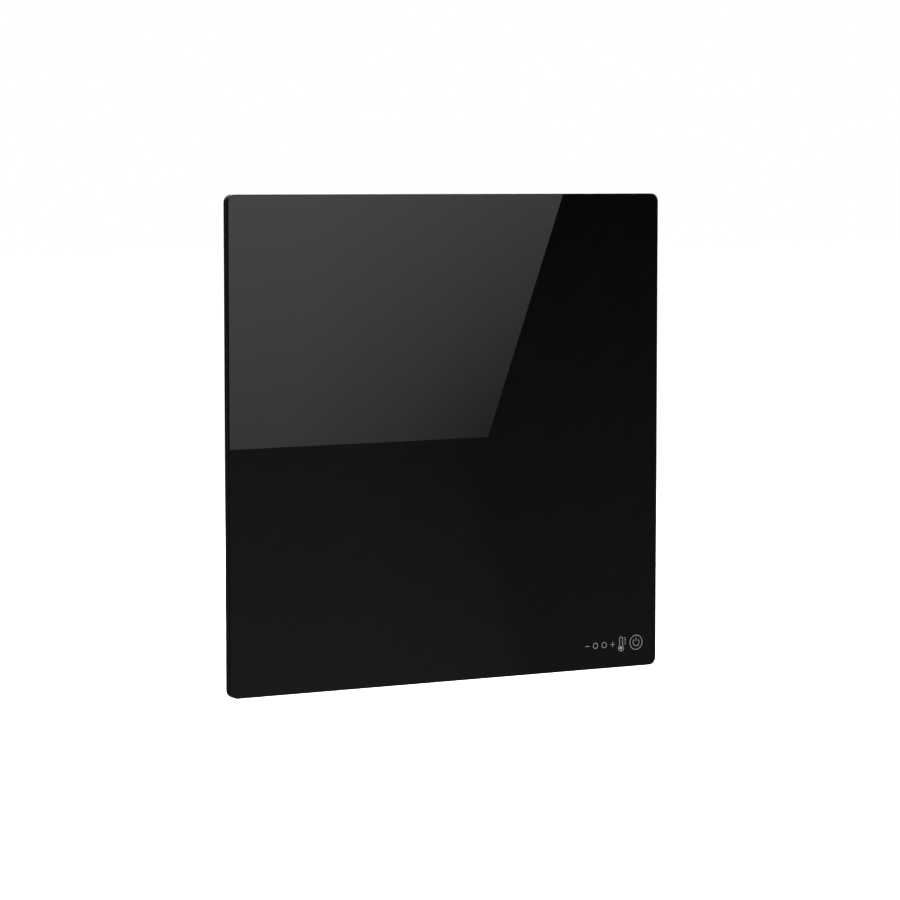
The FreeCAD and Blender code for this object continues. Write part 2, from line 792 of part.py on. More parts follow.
# Insulating board with pockets for the screw heads, nuts and leads that lie in it.
def make_insulation_mat():
    body = piece("insulation_mat", y="-tray_floor_out")
    outline = sketch(body, "mat_outline")
    rounded(outline, 0, 0, "pack_width", "pack_height", "pack_corner")
    pad(body, outline, "mat_thickness")
    channel = sketch(body, "lead_channel")
    rectangle(channel, 0, "terminal_z", "2 * (terminal_x + tag_window_radius)", "channel_height")
    cut(body, channel)
    pockets = sketch(body, "mat_pockets")
    circles(pockets, corners_of("standoff_x", "standoff_z"), "standoff_head_radius + pocket_clearance")
    cut(body, pockets)
    nuts = sketch(body, "nut_pockets")
    for x, z in corners_of("base_screw_x", "base_screw_z"):
        circle(nuts, f"box_x + {x}", f"box_z + {z}", "nut_flats / sqrt(3) + pocket_clearance")
    cut(body, nuts)
    stud = sketch(body, "stud_pocket")
    circle(stud, "box_x + earth_x", "box_z + earth_z", "earth_head_radius + pocket_clearance")
    cut(body, stud)
    grommet = sketch(body, "grommet_pocket")
    circle(grommet, "grommet_x", "terminal_z", "grommet_flange + pocket_clearance")
    cut(body, grommet)
    cutouts = sketch(body, "cutout_pockets")
    for side in (-1, 1):
        rectangle(
            cutouts,
            f"{side} * cutout_place",
            f"terminal_z + {side} * lead_spacing / 2",
            "cutout_length + 2 * pocket_clearance",
            "cutout_height + 2 * pocket_clearance",
        )
    cut(body, cutouts)


# Rivets through the ends of the element, and the ring tags that they hold.
def make_terminals():
    rivets = piece("terminal_rivets", y="-front_mica_out", z="terminal_z")
    spots = [(f"{side} * terminal_x", "0") for side in (-1, 1)]
    shank = sketch(rivets, "rivet_shanks")
    circles(shank, spots, "rivet_radius")
    pad(rivets, shank, "foil_thickness + mica_thickness + tag_thickness", back=True)
    head = sketch(rivets, "rivet_heads", offset="-(foil_thickness + mica_thickness + tag_thickness)")
    circles(head, spots, "rivet_head_radius")
    pad(rivets, head, "rivet_head_height", back=True)
    tags = piece("lead_tags", y="-rear_mica_out", z="terminal_z")
    plates = sketch(tags, "tag_plates")
    for side in (-1, 1):
        middle = f"{side} * (terminal_x - tag_reach / 2 + rivet_head_radius / 2)"
        rectangle(plates, middle, 0, "tag_reach + rivet_head_radius", "2 * tag_half_width")
        circle(plates, f"{side} * terminal_x", 0, "rivet_radius + rivet_clearance")
    pad(tags, plates, "tag_thickness", back=True)
    for side, name in ((-1, "left_barrel"), (1, "right_barrel")):
        start = "terminal_x - rivet_head_radius - rivet_clearance"
        barrel = sketch(tags, name, "YZ_Plane", f"{side} * ({start})")
        circle(barrel, "rear_mica_out - lead_out", f"{side} * lead_spacing / 2", "tag_barrel")
        pad(tags, barrel, "tag_barrel_length", back=side > 0)


# Thermal cut-outs in line with the leads.
def make_thermal_cutouts():
    body = piece("thermal_cutouts", y="-lead_out", z="terminal_z")
    blocks = sketch(body, "cutout_blocks")
    for side in (-1, 1):
        height = f"{side} * lead_spacing / 2"
        rectangle(blocks, f"{side} * cutout_place", height, "cutout_length", "cutout_height")
    pad(body, blocks, "cutout_thickness", both=True)


# Leads from the terminals through the cut-outs and the grommet to the board.
def make_heater_leads():
    body = piece("heater_leads", y="-lead_out", z="terminal_z")
    for side, name in ((-1, "left"), (1, "right")):
        height = f"{side} * lead_spacing / 2"
        tag_end = "terminal_x - rivet_head_radius - rivet_clearance - tag_barrel_length"
        short = sketch(body, f"{name}_short_lead", "YZ_Plane", f"{side} * (cutout_place + cutout_length / 2)")
        circle(short, 0, height, "lead_radius")
        pad(body, short, f"({tag_end}) - cutout_place - cutout_length / 2", back=side < 0)
        start = f"{side} * (cutout_place - cutout_length / 2)"
        rise = "lead_out - control_out"
        corners = [(start, 0), ("grommet_x", 0), ("grommet_x", rise)]
        corners.append(("board_x + tab_x - tab_length - receptacle_clearance", rise))
        ends = (start, 0, height)
        wire(body, f"{name}_lead", "XY_Plane", height, corners, "lead_radius", "lead_bend", "YZ_Plane", ends)


# Rubber grommet that lines the hole in the pan and the hole in the tub's floor.
def make_lead_grommet():
    body = piece("lead_grommet", x="grommet_x", y="-tray_floor_out", z="terminal_z")
    half = sketch(body, "grommet_half", "XY_Plane")
    top = "tray_floor_out - floor_out"
    polygon(
        half,
        [
            ("grommet_bore", "-grommet_lip"),
            ("grommet_flange", "-grommet_lip"),
            ("grommet_flange", 0),
            ("grommet_neck", 0),
            ("grommet_neck", "sheet_thickness"),
            ("grommet_flange", "sheet_thickness"),
            ("grommet_flange", "sheet_thickness + foot_height"),
            ("grommet_neck", "sheet_thickness + foot_height"),
            ("grommet_neck", top),
            ("grommet_flange - grommet_lip", top),
            ("grommet_flange - grommet_lip", f"{top} + grommet_lip"),
            ("grommet_bore", f"{top} + grommet_lip"),
        ],
    )
    turned(body, half)


# Turned stand-offs with a blind threaded hole for the wall bracket's bolt, and the screws that hold them.
def make_standoffs():
    body = piece("wall_standoffs", y="-wall_gap")
    spots = corners_of("standoff_x", "standoff_z")
    base = sketch(body, "standoff_bases")
    circles(base, spots, "standoff_base_radius")
    pad(body, base, "standoff_base_height", back=True)
    column = sketch(body, "standoff_columns")
    circles(column, spots, "standoff_radius")
    columns = pad(body, column, "wall_gap", back=True)
    shoulder, wide = value("standoff_base_height"), value("2 * standoff_radius + standoff_chamfer")
    rear = value("wall_gap")
    dressed(
        body,
        "Chamfer",
        columns,
        "standoff_chamfer",
        lambda box: level(rear)(box) or (level(shoulder)(box) and box.XLength > wide),
    )
    front = sketch(body, "standoff_front_bores")
    circles(front, spots, "standoff_screw_radius + screw_clearance")
    cut(body, front, "standoff_screw_length + bore_overrun", back=True)
    wall = sketch(body, "standoff_wall_bores", offset="-wall_gap")
    circles(wall, spots, "wall_thread_radius")
    cut(body, wall, "wall_thread_depth")
    screws = piece("standoff_screws", y="-tray_floor_out")
    head = sketch(screws, "standoff_screw_heads")
    circles(head, spots, "standoff_head_radius")
    heads = pad(screws, head, "standoff_head_height")
    dressed(screws, "Chamfer", heads, "standoff_head_edge", level(value("-standoff_head_height")))
    shank = sketch(screws, "standoff_screw_shanks")
    circles(shank, spots, "standoff_screw_radius")
    pad(screws, shank, "sheet_thickness + standoff_screw_length", back=True)


# Moulded tub of the control box, open towards the wall.
def make_control_box_base():
    body = piece("control_box_base", x="box_x", y="-tub_out", z="box_z")
    outline = sketch(body, "tub_outline")
    rounded(outline, 0, 0, "box_length", "box_height", "box_corner")
    block = pad(body, outline, "tub_depth", back=True)
    dressed(body, "Chamfer", block, "box_edge", level(0))
    hollow = sketch(body, "tub_hollow", offset="-box_wall")
    rounded(hollow, 0, 0, "box_length - 2 * box_wall", "box_height - 2 * box_wall", "box_corner - box_wall")
    cut(body, hollow, "tub_depth", back=True)
    feet = sketch(body, "tub_feet")
    circles(feet, corners_of("base_screw_x", "base_screw_z"), "foot_radius")
    pad(body, feet, "foot_height")
    board = [(f"board_shift + {x}", z) for x, z in corners_of("board_screw_x", "board_screw_z")]
    bosses = sketch(body, "board_bosses", offset="-box_wall")
    circles(bosses, board, "board_boss_radius")
    pad(body, bosses, "board_rise", back=True)
    cover = corners_of("cover_screw_x", "cover_screw_z")
    posts = sketch(body, "cover_bosses", offset="-box_wall")
    circles(posts, cover, "cover_boss_radius")
    pad(body, posts, "tub_depth - box_wall - cover_post_drop", back=True)
    holes = sketch(body, "tub_holes", offset="foot_height")
    circles(holes, corners_of("base_screw_x", "base_screw_z"), "base_screw_radius + screw_clearance")
    circle(holes, "grommet_x - box_x", "terminal_z - box_z", "grommet_neck + grommet_clearance")
    circle(holes, "earth_x", "earth_z", "earth_shoulder_radius + screw_clearance")
    cut(body, holes, "foot_height + box_wall + bore_overrun", back=True)
    cores = sketch(body, "board_cores", offset="-(box_wall + board_rise)")
    circles(cores, board, "board_screw_radius + screw_clearance")
    cut(body, cores, "board_rise")
    cores = sketch(body, "cover_cores", offset="-(tub_depth - cover_post_drop)")
    circles(cores, cover, "cover_screw_radius + screw_clearance")
    cut(body, cores, "cover_screw_length")
    right = sketch(body, "right_openings", "YZ_Plane", "box_length / 2")
    width, length = "switch_width + 2 * switch_clearance", "switch_length + 2 * switch_clearance"
    rectangle(right, "control_level", "switch_z", width, length)
    circle(right, "control_level", "button_z", "button_radius + button_clearance")
    circle(right, "control_level", "pipe_z", "pipe_radius + pipe_clearance")
    cut(body, right, "box_wall + box_edge", back=True)
    left = sketch(body, "left_opening", "YZ_Plane", "-box_length / 2")
    circle(left, "control_level", "gland_z", "gland_thread_radius + gland_clearance")
    cut(body, left, "box_wall + box_edge")
    vents = sketch(body, "side_vents", "XY_Plane")
    first = "board_shift - side_vent_pitch * (side_vent_count - 1) / 2"
    rectangle(vents, first, "control_level", "side_vent_width", "side_vent_length")
    repeated(body, cut(body, vents, "box_height", both=True), "side_vent_pitch", "side_vent_count")


# Moulded lid with rolled edges, a locating lip, vent slots and recessed screws.
def make_control_box_cover():
    body = piece("control_box_cover", x="box_x", y="-rim_out", z="box_z")
    outline = sketch(body, "lid_outline")
    rounded(outline, 0, 0, "box_length", "box_height", "box_corner")
    block = pad(body, outline, "lid_depth", back=True)
    rolled = dressed(body, "Fillet", block, "lid_edge", level(value("lid_depth")))
    doc.recompute()
    shell = body.newObject("PartDesign::Thickness", "lid_shell")
    shell.Base = (rolled, faces_at(rolled, 0))
    shell.setExpression("Value", bound("lid_wall"))
    shell.Reversed = True
    shell.Join = "Intersection"
    lip = sketch(body, "lid_lip", offset="-(lid_depth - lid_wall)")
    gap = "(box_wall + lip_clearance)"
    inner = "(box_wall + lip_clearance + lip_wall)"
    rounded(lip, 0, 0, f"box_length - 2 * {gap}", f"box_height - 2 * {gap}", f"box_corner - {gap}")
    rounded(lip, 0, 0, f"box_length - 2 * {inner}", f"box_height - 2 * {inner}", f"box_corner - {inner}")
    pad(body, lip, "lid_depth - lid_wall + lip_depth")
    posts = sketch(body, "lid_posts", offset="-(lid_depth - lid_wall)")
    spots = corners_of("cover_screw_x", "cover_screw_z")
    circles(posts, spots, "cover_boss_radius")
    pad(body, posts, "lid_depth - lid_wall + cover_post_drop")
    recess = sketch(body, "screw_recesses", offset="-lid_depth")
    circles(recess, spots, "cover_recess_radius")
    cut(body, recess, "cover_recess_depth")
    holes = sketch(body, "screw_holes", offset="-lid_depth")
    circles(holes, spots, "cover_screw_radius + screw_clearance")
    cut(body, holes)
    vents = sketch(body, "lid_vents", offset="-lid_depth")
    slot(vents, "vent_shift - vent_pitch * (vent_count - 1) / 2", 0, "vent_width", "vent_length")
    repeated(body, cut(body, vents, "lid_wall + bore_overrun"), "vent_pitch", "vent_count")


def make_screw_set(name, place, spots, head, shank, edge=None):
    """Plain screws, all driven from the wall side towards the glass."""
    body = piece(name, *place)
    heads = sketch(body, f"{name}_heads")
    circles(heads, spots, head[0])
    top = pad(body, heads, head[1], back=True)
    if edge:
        dressed(body, "Chamfer", top, edge, level(value(head[1])))
    shanks = sketch(body, f"{name}_shanks")
    circles(shanks, spots, shank[0])
    pad(body, shanks, shank[1])


def make_screws():
    make_screw_set(
        "base_screws",
        ("box_x", "-floor_out", "box_z"),
        corners_of("base_screw_x", "base_screw_z"),
        ("base_head_radius", "base_head_height"),
        ("base_screw_radius", "base_screw_length"),
    )
    make_screw_set(
        "cover_screws",
        ("box_x", "-(lid_out + cover_recess_depth)", "box_z"),
        corners_of("cover_screw_x", "cover_screw_z"),
        ("cover_head_radius", "cover_head_height"),
        ("cover_screw_radius", "cover_screw_length"),
        "cover_head_edge",
    )
    make_screw_set(
        "pcb_screws",
        ("board_x", "-board_top_out", "box_z"),
        corners_of("board_screw_x", "board_screw_z"),
        ("board_head_radius", "board_head_height"),
        ("board_screw_radius", "board_screw_length"),
    )


# Hexagon nuts pressed into the pan for the tub's screws.
def make_tray_nuts():
    body = piece("tray_nuts", x="box_x", y="-tray_floor_out", z="box_z")
    blanks = sketch(body, "nut_blanks")
    for x, z in corners_of("base_screw_x", "base_screw_z"):
        hexagon(blanks, x, z, "nut_flats")
        circle(blanks, x, z, "base_screw_radius + screw_clearance")
    pad(body, blanks, "nut_height")


# Circuit board on the tub's bosses.
def make_control_pcb():
    body = piece("control_pcb", x="board_x", y="-board_front_out", z="box_z")
    outline = sketch(body, "board_outline")
    rounded(outline, 0, 0, "board_length", "board_height", "board_corner")
    circles(outline, corners_of("board_screw_x", "board_screw_z"), "board_screw_radius + screw_clearance")
    pad(body, outline, "board_thickness", back=True)


def on_board(name, x, z):
    """A body whose own origin lies on the component side of the board."""
    return piece(name, f"board_x + {x}", "-board_top_out", f"box_z + {z}")


# Parts that stand on the board.
def make_board_parts():
    cases = (("power_relay", "relay", "relay_edge"), ("power_module", "module", "module_edge"))
    for name, key, edge in cases:
        body = on_board(name, f"{key}_x", f"{key}_z")
        case = sketch(body, f"{key}_case")
        rectangle(case, 0, 0, f"{key}_length", f"{key}_width")
        block = pad(body, case, f"{key}_height", back=True)
        top = value(f"{key}_height")
        dressed(body, "Chamfer", block, edge, level(top))
    radio = on_board("radio_module", "radio_x", "radio_z")
    carrier = sketch(radio, "radio_carrier")
    rectangle(carrier, 0, 0, "radio_length", "radio_width")
    pad(radio, carrier, "radio_board", back=True)
    can = sketch(radio, "radio_can", offset="-radio_board")
    shift = "(radio_length - radio_can_length) / 2 - radio_can_inset"
    rectangle(can, shift, 0, "radio_can_length", "radio_width - 2 * radio_can_inset")
    pad(radio, can, "radio_can_height", back=True)
    capacitor = on_board("smoothing_capacitor", "capacitor_x", "capacitor_z")
    can = sketch(capacitor, "capacitor_can")
    circle(can, 0, 0, "capacitor_radius")
    drum = pad(capacitor, can, "capacitor_height", back=True)
    dressed(capacitor, "Chamfer", drum, "capacitor_edge", level(value("capacitor_height")))
    fuse = on_board("mains_fuse", "fuse_x", "fuse_z")
    clips = sketch(fuse, "fuse_clips")
    for side in (-1, 1):
        middle = f"{side} * (fuse_length - fuse_holder_length) / 2"
        rectangle(clips, middle, 0, "fuse_holder_length", "fuse_holder_width")
    pad(fuse, clips, "fuse_holder_height", back=True)
    tube = sketch(fuse, "fuse_tube", "YZ_Plane")
    circle(tube, "fuse_holder_height", 0, "fuse_radius")
    pad(fuse, tube, "fuse_length", both=True)
    sensor = on_board("room_sensor", "sensor_x", "sensor_z")
    case = sketch(sensor, "sensor_case")
    rectangle(case, 0, 0, "sensor_length", "sensor_width")
    pad(sensor, case, "sensor_height", back=True)
    led = on_board("status_led", "board_length / 2 - led_length / 2", "pipe_z")
    case = sketch(led, "led_case")
    rectangle(case, 0, 0, "led_length", "led_width")
    pad(led, case, "led_height", back=True)


# Push-on tabs at the board's left end, and the receptacles of the element leads.
def make_lead_ends():
    tabs = piece("spade_tabs", "board_x + tab_x", "-board_top_out", "terminal_z")
    rise = "board_top_out - control_out"
    foot = sketch(tabs, "tab_feet")
    blade = sketch(tabs, "tab_blades", offset=f"-({rise} - tab_thickness / 2)")
    for side in (-1, 1):
        height = f"{side} * lead_spacing / 2"
        rectangle(foot, "-tab_foot_length / 2", height, "tab_foot_length", "tab_width")
        rectangle(blade, "-tab_length / 2", height, "tab_length", "tab_width")
    pad(tabs, foot, f"{rise} + tab_thickness / 2", back=True)
    pad(tabs, blade, "tab_thickness", back=True)
    end = "board_x + tab_x - tab_length - receptacle_clearance"
    covers = piece("lead_receptacles", end, "-control_out", "terminal_z")
    bodies = sketch(covers, "receptacle_bodies", "YZ_Plane")
    slots = sketch(covers, "receptacle_slots", "YZ_Plane", "receptacle_clearance")
    for side in (-1, 1):
        height = f"{side} * lead_spacing / 2"
        rectangle(bodies, 0, height, "receptacle_height", "receptacle_width")
        rectangle(
            slots,
            0,
            height,
            "tab_thickness + 2 * receptacle_clearance",
            "tab_width + 2 * receptacle_clearance",
        )
    length = "tab_length - tab_foot_length"
    pad(covers, bodies, length)
    cut(covers, slots, "receptacle_length", back=False)


# Mains terminal block: a stepped moulding with side entries and screw wells.
def make_terminal_block():
    body = piece("terminal_block", "box_x + block_x", "-floor_out", "box_z + block_z")
    profile = sketch(body, "block_profile", "XY_Plane")
    half = "block_width / 2"
    polygon(
        profile,
        [
            (f"-{half}", 0),
            (half, 0),
            (half, "block_height - block_step"),
            (f"{half} - block_step / 2", "block_height"),
            (f"-{half} + block_step / 2", "block_height"),
            (f"-{half}", "block_height - block_step"),
        ],
    )
    pad(body, profile, "block_length", both=True)
    poles = [(0, f"{step} * block_pitch") for step in (-1, 0, 1)]
    wells = sketch(body, "block_wells", offset="-block_height")
    circles(wells, poles, "block_well_radius")
    cut(body, wells, "block_well_depth")
    entries = sketch(body, "block_entries", "YZ_Plane")
    for step in (-1, 0, 1):
        circle(entries, "block_entry_height", f"{step} * block_pitch", "block_entry_radius")
    cut(body, entries, "block_width", both=True)
    clamped = "-(floor_out - block_entry_height - wire_radius)"
    screws = piece("terminal_screws", "box_x + block_x", clamped, "box_z + block_z")
    heads = sketch(screws, "terminal_screw_heads")
    circles(heads, poles, "block_screw_radius")
    pad(screws, heads, "block_screw_height", back=True)


# Earth stud in the pan with its tag, nut and lead.
def make_earth():
    stud = piece("earth_stud", "box_x + earth_x", "-tray_floor_out", "box_z + earth_z")
    half = sketch(stud, "stud_half", "XY_Plane")
    shoulder = "tray_floor_out - floor_out + earth_shoulder_rise"
    polygon(
        half,
        [
            (0, "-earth_head_height"),
            ("earth_head_radius", "-earth_head_height"),
            ("earth_head_radius", 0),
            ("earth_thread_radius", 0),
            ("earth_thread_radius", "sheet_thickness"),
            ("earth_shoulder_radius", "sheet_thickness"),
            ("earth_shoulder_radius", shoulder),
            ("earth_thread_radius", shoulder),
            ("earth_thread_radius", f"{shoulder} + earth_thread_length"),
            (0, f"{shoulder} + earth_thread_length"),
        ],
    )
    turned(stud, half)
    level_y = "-(floor_out - earth_shoulder_rise)"
    tag = piece("earth_tag", "box_x + earth_x", level_y, "box_z + earth_z")
    plate = sketch(tag, "earth_tag_plate")
    middle, length = "(earth_tag_reach - earth_tag_half_width) / 2", "earth_tag_reach + earth_tag_half_width"
    rectangle(plate, middle, 0, length, "2 * earth_tag_half_width")
    circle(plate, 0, 0, "earth_thread_radius + screw_clearance")
    pad(tag, plate, "tag_thickness", back=True)
    barrel = sketch(tag, "earth_barrel", "YZ_Plane", "earth_nut_flats / sqrt(3) + rivet_clearance")
    circle(barrel, "earth_barrel_radius", 0, "earth_barrel_radius")
    pad(tag, barrel, "earth_barrel_length")
    nut = piece("earth_nut", "box_x + earth_x", f"{level_y} + tag_thickness", "box_z + earth_z")
    blank = sketch(nut, "earth_nut_blank")
    hexagon(blank, 0, 0, "earth_nut_flats")
    circle(blank, 0, 0, "earth_thread_radius + screw_clearance")
    pad(nut, blank, "earth_nut_height", back=True)
    lead = piece("earth_lead", "box_x", f"{level_y} + earth_barrel_radius", "box_z")
    start = "earth_x + earth_nut_flats / sqrt(3) + rivet_clearance + earth_barrel_length"
    corners = [(start, "earth_z"), ("earth_lead_x", "earth_z"), ("earth_lead_x", "block_z - block_pitch")]
    corners.append(("block_x", "block_z - block_pitch"))
    ends = (start, 0, "earth_z")
    wire(lead, "earth", "XZ_Plane", 0, corners, "wire_radius", "wire_bend", "YZ_Plane", ends)


# Power switch: a bezelled housing in the end wall and the rocker that tips in it.
def make_power_switch():
    body = piece("rocker_switch_body", "box_x + box_length / 2", "-control_out", "box_z + switch_z")
    case = sketch(body, "switch_case", "YZ_Plane")
    rectangle(case, 0, 0, "switch_width", "switch_length")
    pad(body, case, "switch_depth", back=True)
    frame = sketch(body, "switch_bezel", "YZ_Plane")
    rounded(frame, 0, 0, "bezel_width", "bezel_length", "bezel_corner")
    bezel = pad(body, frame, "bezel_height")
    face = value("bezel_height")
    dressed(
        body, "Chamfer", bezel, "bezel_height / 3", lambda box: near(box.XMin, face) and near(box.XMax, face)
    )
    well = sketch(body, "rocker_well", "YZ_Plane", "bezel_height")
    rectangle(well, 0, 0, "rocker_well_width", "rocker_well_length")
    cut(body, well, "rocker_well_depth", back=True)
    pivot = sketch(body, "pivot_bores", "XZ_Plane")
    circle(pivot, "bezel_height - rocker_pivot_depth", 0, "rocker_pin_radius + rocker_pin_clearance")
    reach = "2 * (rocker_half_width + rocker_clearance + rocker_pin_reach)"
    cut(body, pivot, reach, both=True)
    rocker = piece(
        "power_rocker",
        "box_x + box_length / 2 + bezel_height - rocker_pivot_depth",
        "-control_out",
        "box_z + switch_z",
    )
    rocker.Placement.Rotation = FreeCAD.Rotation(FreeCAD.Vector(0, 1, 0), value("rocker_tilt_angle"))
    side = sketch(rocker, "rocker_side", "XZ_Plane")
    rocker_profile(side)
    pad(rocker, side, "2 * rocker_half_width", both=True)
    pins = sketch(rocker, "rocker_pins", "XZ_Plane")
    circle(pins, 0, 0, "rocker_pin_radius")
    pad(rocker, pins, "2 * (rocker_half_width + rocker_pin_reach)", both=True)


def rocker_profile(drawn):
    """Side view of the rocker: a shallow V on top and round ends struck from the pivot."""
    radius = value("rocker_end_radius")
    rise, drop = value("rocker_end_rise"), value("rocker_base_drop")
    top, low = math.asin(rise / radius), math.asin(drop / radius)
    high = FreeCAD.Vector(rise, radius * math.cos(top), 0)
    base = FreeCAD.Vector(-drop, radius * math.cos(low), 0)
    middle = FreeCAD.Vector(value("rocker_middle_rise"), 0, 0)
    mirror = [FreeCAD.Vector(point.x, -point.y, 0) for point in (high, base)]
    drawn.addGeometry(arc_between(math.pi / 2 - top, math.pi / 2 + low, 0, 0, radius), False)
    drawn.addGeometry(arc_between(-math.pi / 2 - low, -math.pi / 2 + top, 0, 0, radius), False)
    for start, end in ((high, middle), (middle, mirror[0]), (mirror[1], base)):
        drawn.addGeometry(Part.LineSegment(start, end), False)
    for arc in (0, 1):
        drawn.addConstraint(Sketcher.Constraint("Coincident", arc, 3, -1, 1))
        fix(drawn, "Radius", arc, to="rocker_end_radius")
    joins = [(2, 1, 0, 1), (3, 1, 2, 2), (3, 2, 1, 2), (4, 1, 1, 1), (4, 2, 0, 2)]
    for join in joins:
        drawn.addConstraint(Sketcher.Constraint("Coincident", *join))
    drawn.addConstraint(Sketcher.Constraint("PointOnObject", 2, 2, -1))
    fix(drawn, "DistanceX", -1, 1, 0, 1, to="rocker_end_rise")
    fix(drawn, "DistanceX", -1, 1, 1, 2, to="rocker_end_rise")
    fix(drawn, "DistanceX", -1, 1, 2, 2, to="rocker_middle_rise")
    fix(drawn, "DistanceX", -1, 1, 0, 2, to="-rocker_base_drop")
    fix(drawn, "DistanceX", -1, 1, 1, 1, to="-rocker_base_drop")


# Two leads laid straight from the terminal block to the power switch, over the board.
def make_switch_leads():
    body = piece("switch_leads", "box_x", "-(floor_out - block_entry_height)", "box_z + switch_z")
    ends = sketch(body, "switch_lead_ends", "YZ_Plane", "block_x")
    for side in (-1, 1):
        circle(ends, 0, f"{side} * block_pitch / 2", "wire_radius")
    pad(body, ends, "box_length / 2 - switch_depth - block_x")


# Pairing button: a cap in the end wall with a long stem, and the switch that it presses on the board.
def make_mode_button():
    body = piece("mode_button", "box_x", "-control_out", "box_z + button_z")
    half = sketch(body, "button_half", "XY_Plane")
    inner = "box_length / 2 - box_wall - button_clearance"
    outer = "box_length / 2 + button_proud"
    polygon(
        half,
        [
            ("plunger_face", 0),
            (outer, 0),
            (outer, "button_radius - button_round"),
            (f"{outer} - button_round", "button_radius"),
            (inner, "button_radius"),
            (inner, "button_flange_radius"),
            (f"{inner} - button_flange_height", "button_flange_radius"),
            (f"{inner} - button_flange_height", "button_stem_radius"),
            ("plunger_face", "button_stem_radius"),
        ],
    )
    turned(body, half, "H_Axis")
    plunger = piece("button_plunger", "box_x + plunger_face", "-control_out", "box_z + button_z")
    rod = sketch(plunger, "plunger_rod", "YZ_Plane")
    circle(rod, 0, 0, "plunger_radius")
    pad(plunger, rod, "plunger_length", back=True)
    switch = on_board("button_switch", "board_length / 2 - tact_length / 2", "button_z")
    case = sketch(switch, "tact_case")
    rectangle(case, 0, 0, "tact_length", "tact_width")
    pad(switch, case, "tact_height", back=True)
    bore = sketch(switch, "tact_bore", "YZ_Plane", "tact_length / 2")
    circle(bore, "board_top_out - control_out", 0, "plunger_radius + button_clearance")
    cut(switch, bore, "tact_bore_depth", back=True)


# Light pipe from the lamp on the board to the end wall.
def make_light_pipe():
    body = piece("light_pipe", "box_x + board_right", "-control_out", "box_z + pipe_z")
    rod = sketch(body, "pipe_rod", "YZ_Plane")
    circle(rod, 0, 0, "pipe_radius")
    pad(body, rod, "box_length / 2 - board_right + pipe_proud")


# Cable gland in the left end wall: body, locknut, sealing sleeve and domed cap.
def make_cable_gland():
    place = ("box_x - box_length / 2", "-control_out", "box_z + gland_z")
    body = piece("cable_gland_body", *place)
    collar = sketch(body, "gland_collar", "YZ_Plane")
    hexagon(collar, 0, 0, "gland_flats")
    pad(body, collar, "gland_collar_length", back=True)
    neck = sketch(body, "gland_neck", "YZ_Plane", "-gland_collar_length")
    circle(neck, 0, 0, "gland_neck_radius")
    pad(body, neck, "gland_neck_length", back=True)
    thread = sketch(body, "gland_thread", "YZ_Plane")
    circle(thread, 0, 0, "gland_thread_radius")
    pad(body, thread, "gland_inner_length")
    bore = sketch(body, "gland_bore", "YZ_Plane", "gland_inner_length")
    circle(bore, 0, 0, "gland_bore_radius")
    cut(body, bore, back=True)
    seat = sketch(body, "seal_seat", "YZ_Plane", "-(gland_collar_length + gland_neck_length)")
    circle(seat, 0, 0, "gland_bore_radius + gland_clearance")
    cut(body, seat, "gland_seal_length - gland_clearance")
    nut = piece("cable_gland_nut", "box_x - box_length / 2 + box_wall", "-control_out", "box_z + gland_z")
    blank = sketch(nut, "gland_nut_blank", "YZ_Plane")
    hexagon(blank, 0, 0, "gland_nut_flats")
    circle(blank, 0, 0, "gland_thread_radius + gland_clearance")
    pad(nut, blank, "gland_nut_height")
    seal = piece("cable_gland_seal", *place)
    sleeve = sketch(seal, "seal_sleeve", "YZ_Plane", "-(gland_collar_length + gland_neck_length)")
    circle(sleeve, 0, 0, "gland_bore_radius")
    circle(sleeve, 0, 0, "gland_seal_bore_radius")
    pad(seal, sleeve, "gland_seal_length - 2 * gland_clearance")
    cap = piece("cable_gland_cap", *place)
    start = "-(gland_collar_length + gland_clearance)"
    dome = sketch(cap, "gland_dome", "YZ_Plane", start)
    circle(dome, 0, 0, "gland_cap_radius")
    drum = pad(cap, dome, "gland_cap_length", back=True)
    end = value(f"{start} - gland_cap_length")
    dressed(cap, "Chamfer", drum, "gland_cap_edge", lambda box: near(box.XMin, end) and near(box.XMax, end))
    hollow = sketch(cap, "gland_hollow", "YZ_Plane", start)
    circle(hollow, 0, 0, "gland_neck_radius + gland_clearance")
    cut(cap, hollow, "gland_neck_length", back=True)
    mouth = sketch(cap, "gland_mouth", "YZ_Plane", start)
    circle(mouth, 0, 0, "gland_cap_mouth_radius")
    cut(cap, mouth, back=True)


def build():
    """Make every piece in the order in which the heater is put together."""
    make_front_glass()
    make_perimeter_seal()
    make_rear_tray()
    make_mica_sheets()
    make_heating_foil()
    make_reflector_foil()
    make_insulation_mat()
    make_terminals()
    make_thermal_cutouts()
    make_heater_leads()
    make_lead_grommet()
    make_standoffs()
    make_control_box_base()
    make_control_box_cover()
    make_screws()
    make_tray_nuts()
    make_control_pcb()
    make_board_parts()
    make_lead_ends()
    make_terminal_block()
    make_earth()
    make_power_switch()
    make_switch_leads()
    make_mode_button()
    make_light_pipe()
    make_cable_gland()
    doc.recompute()


def check():
    """Stop if a feature failed, a cut removed nothing or a piece came out empty."""
    failed = [item.Label for item in doc.Objects if {"Invalid", "Error"} & set(item.State)]
    if failed:
        raise RuntimeError(f"failed features: {failed}")
    idle = [
        item.Label
        for item in doc.Objects
        if item.TypeId == "PartDesign::Pocket" and item.Shape.Volume >= item.BaseFeature.Shape.Volume
    ]
    if idle:
        raise RuntimeError(f"cuts that remove nothing: {idle}")
    for body in pieces:
        if body.Shape.isNull() or not body.Shape.isValid() or not body.Shape.Solids:
            raise RuntimeError(f"{body.Label} has no sound solid")


build()
check()
os.makedirs("parts", exist_ok=True)
for body in pieces:
    body.Shape.exportStep(f"parts/{body.Label}.step")
    print(body.Label, len(body.Shape.Solids), round(body.Shape.Volume))
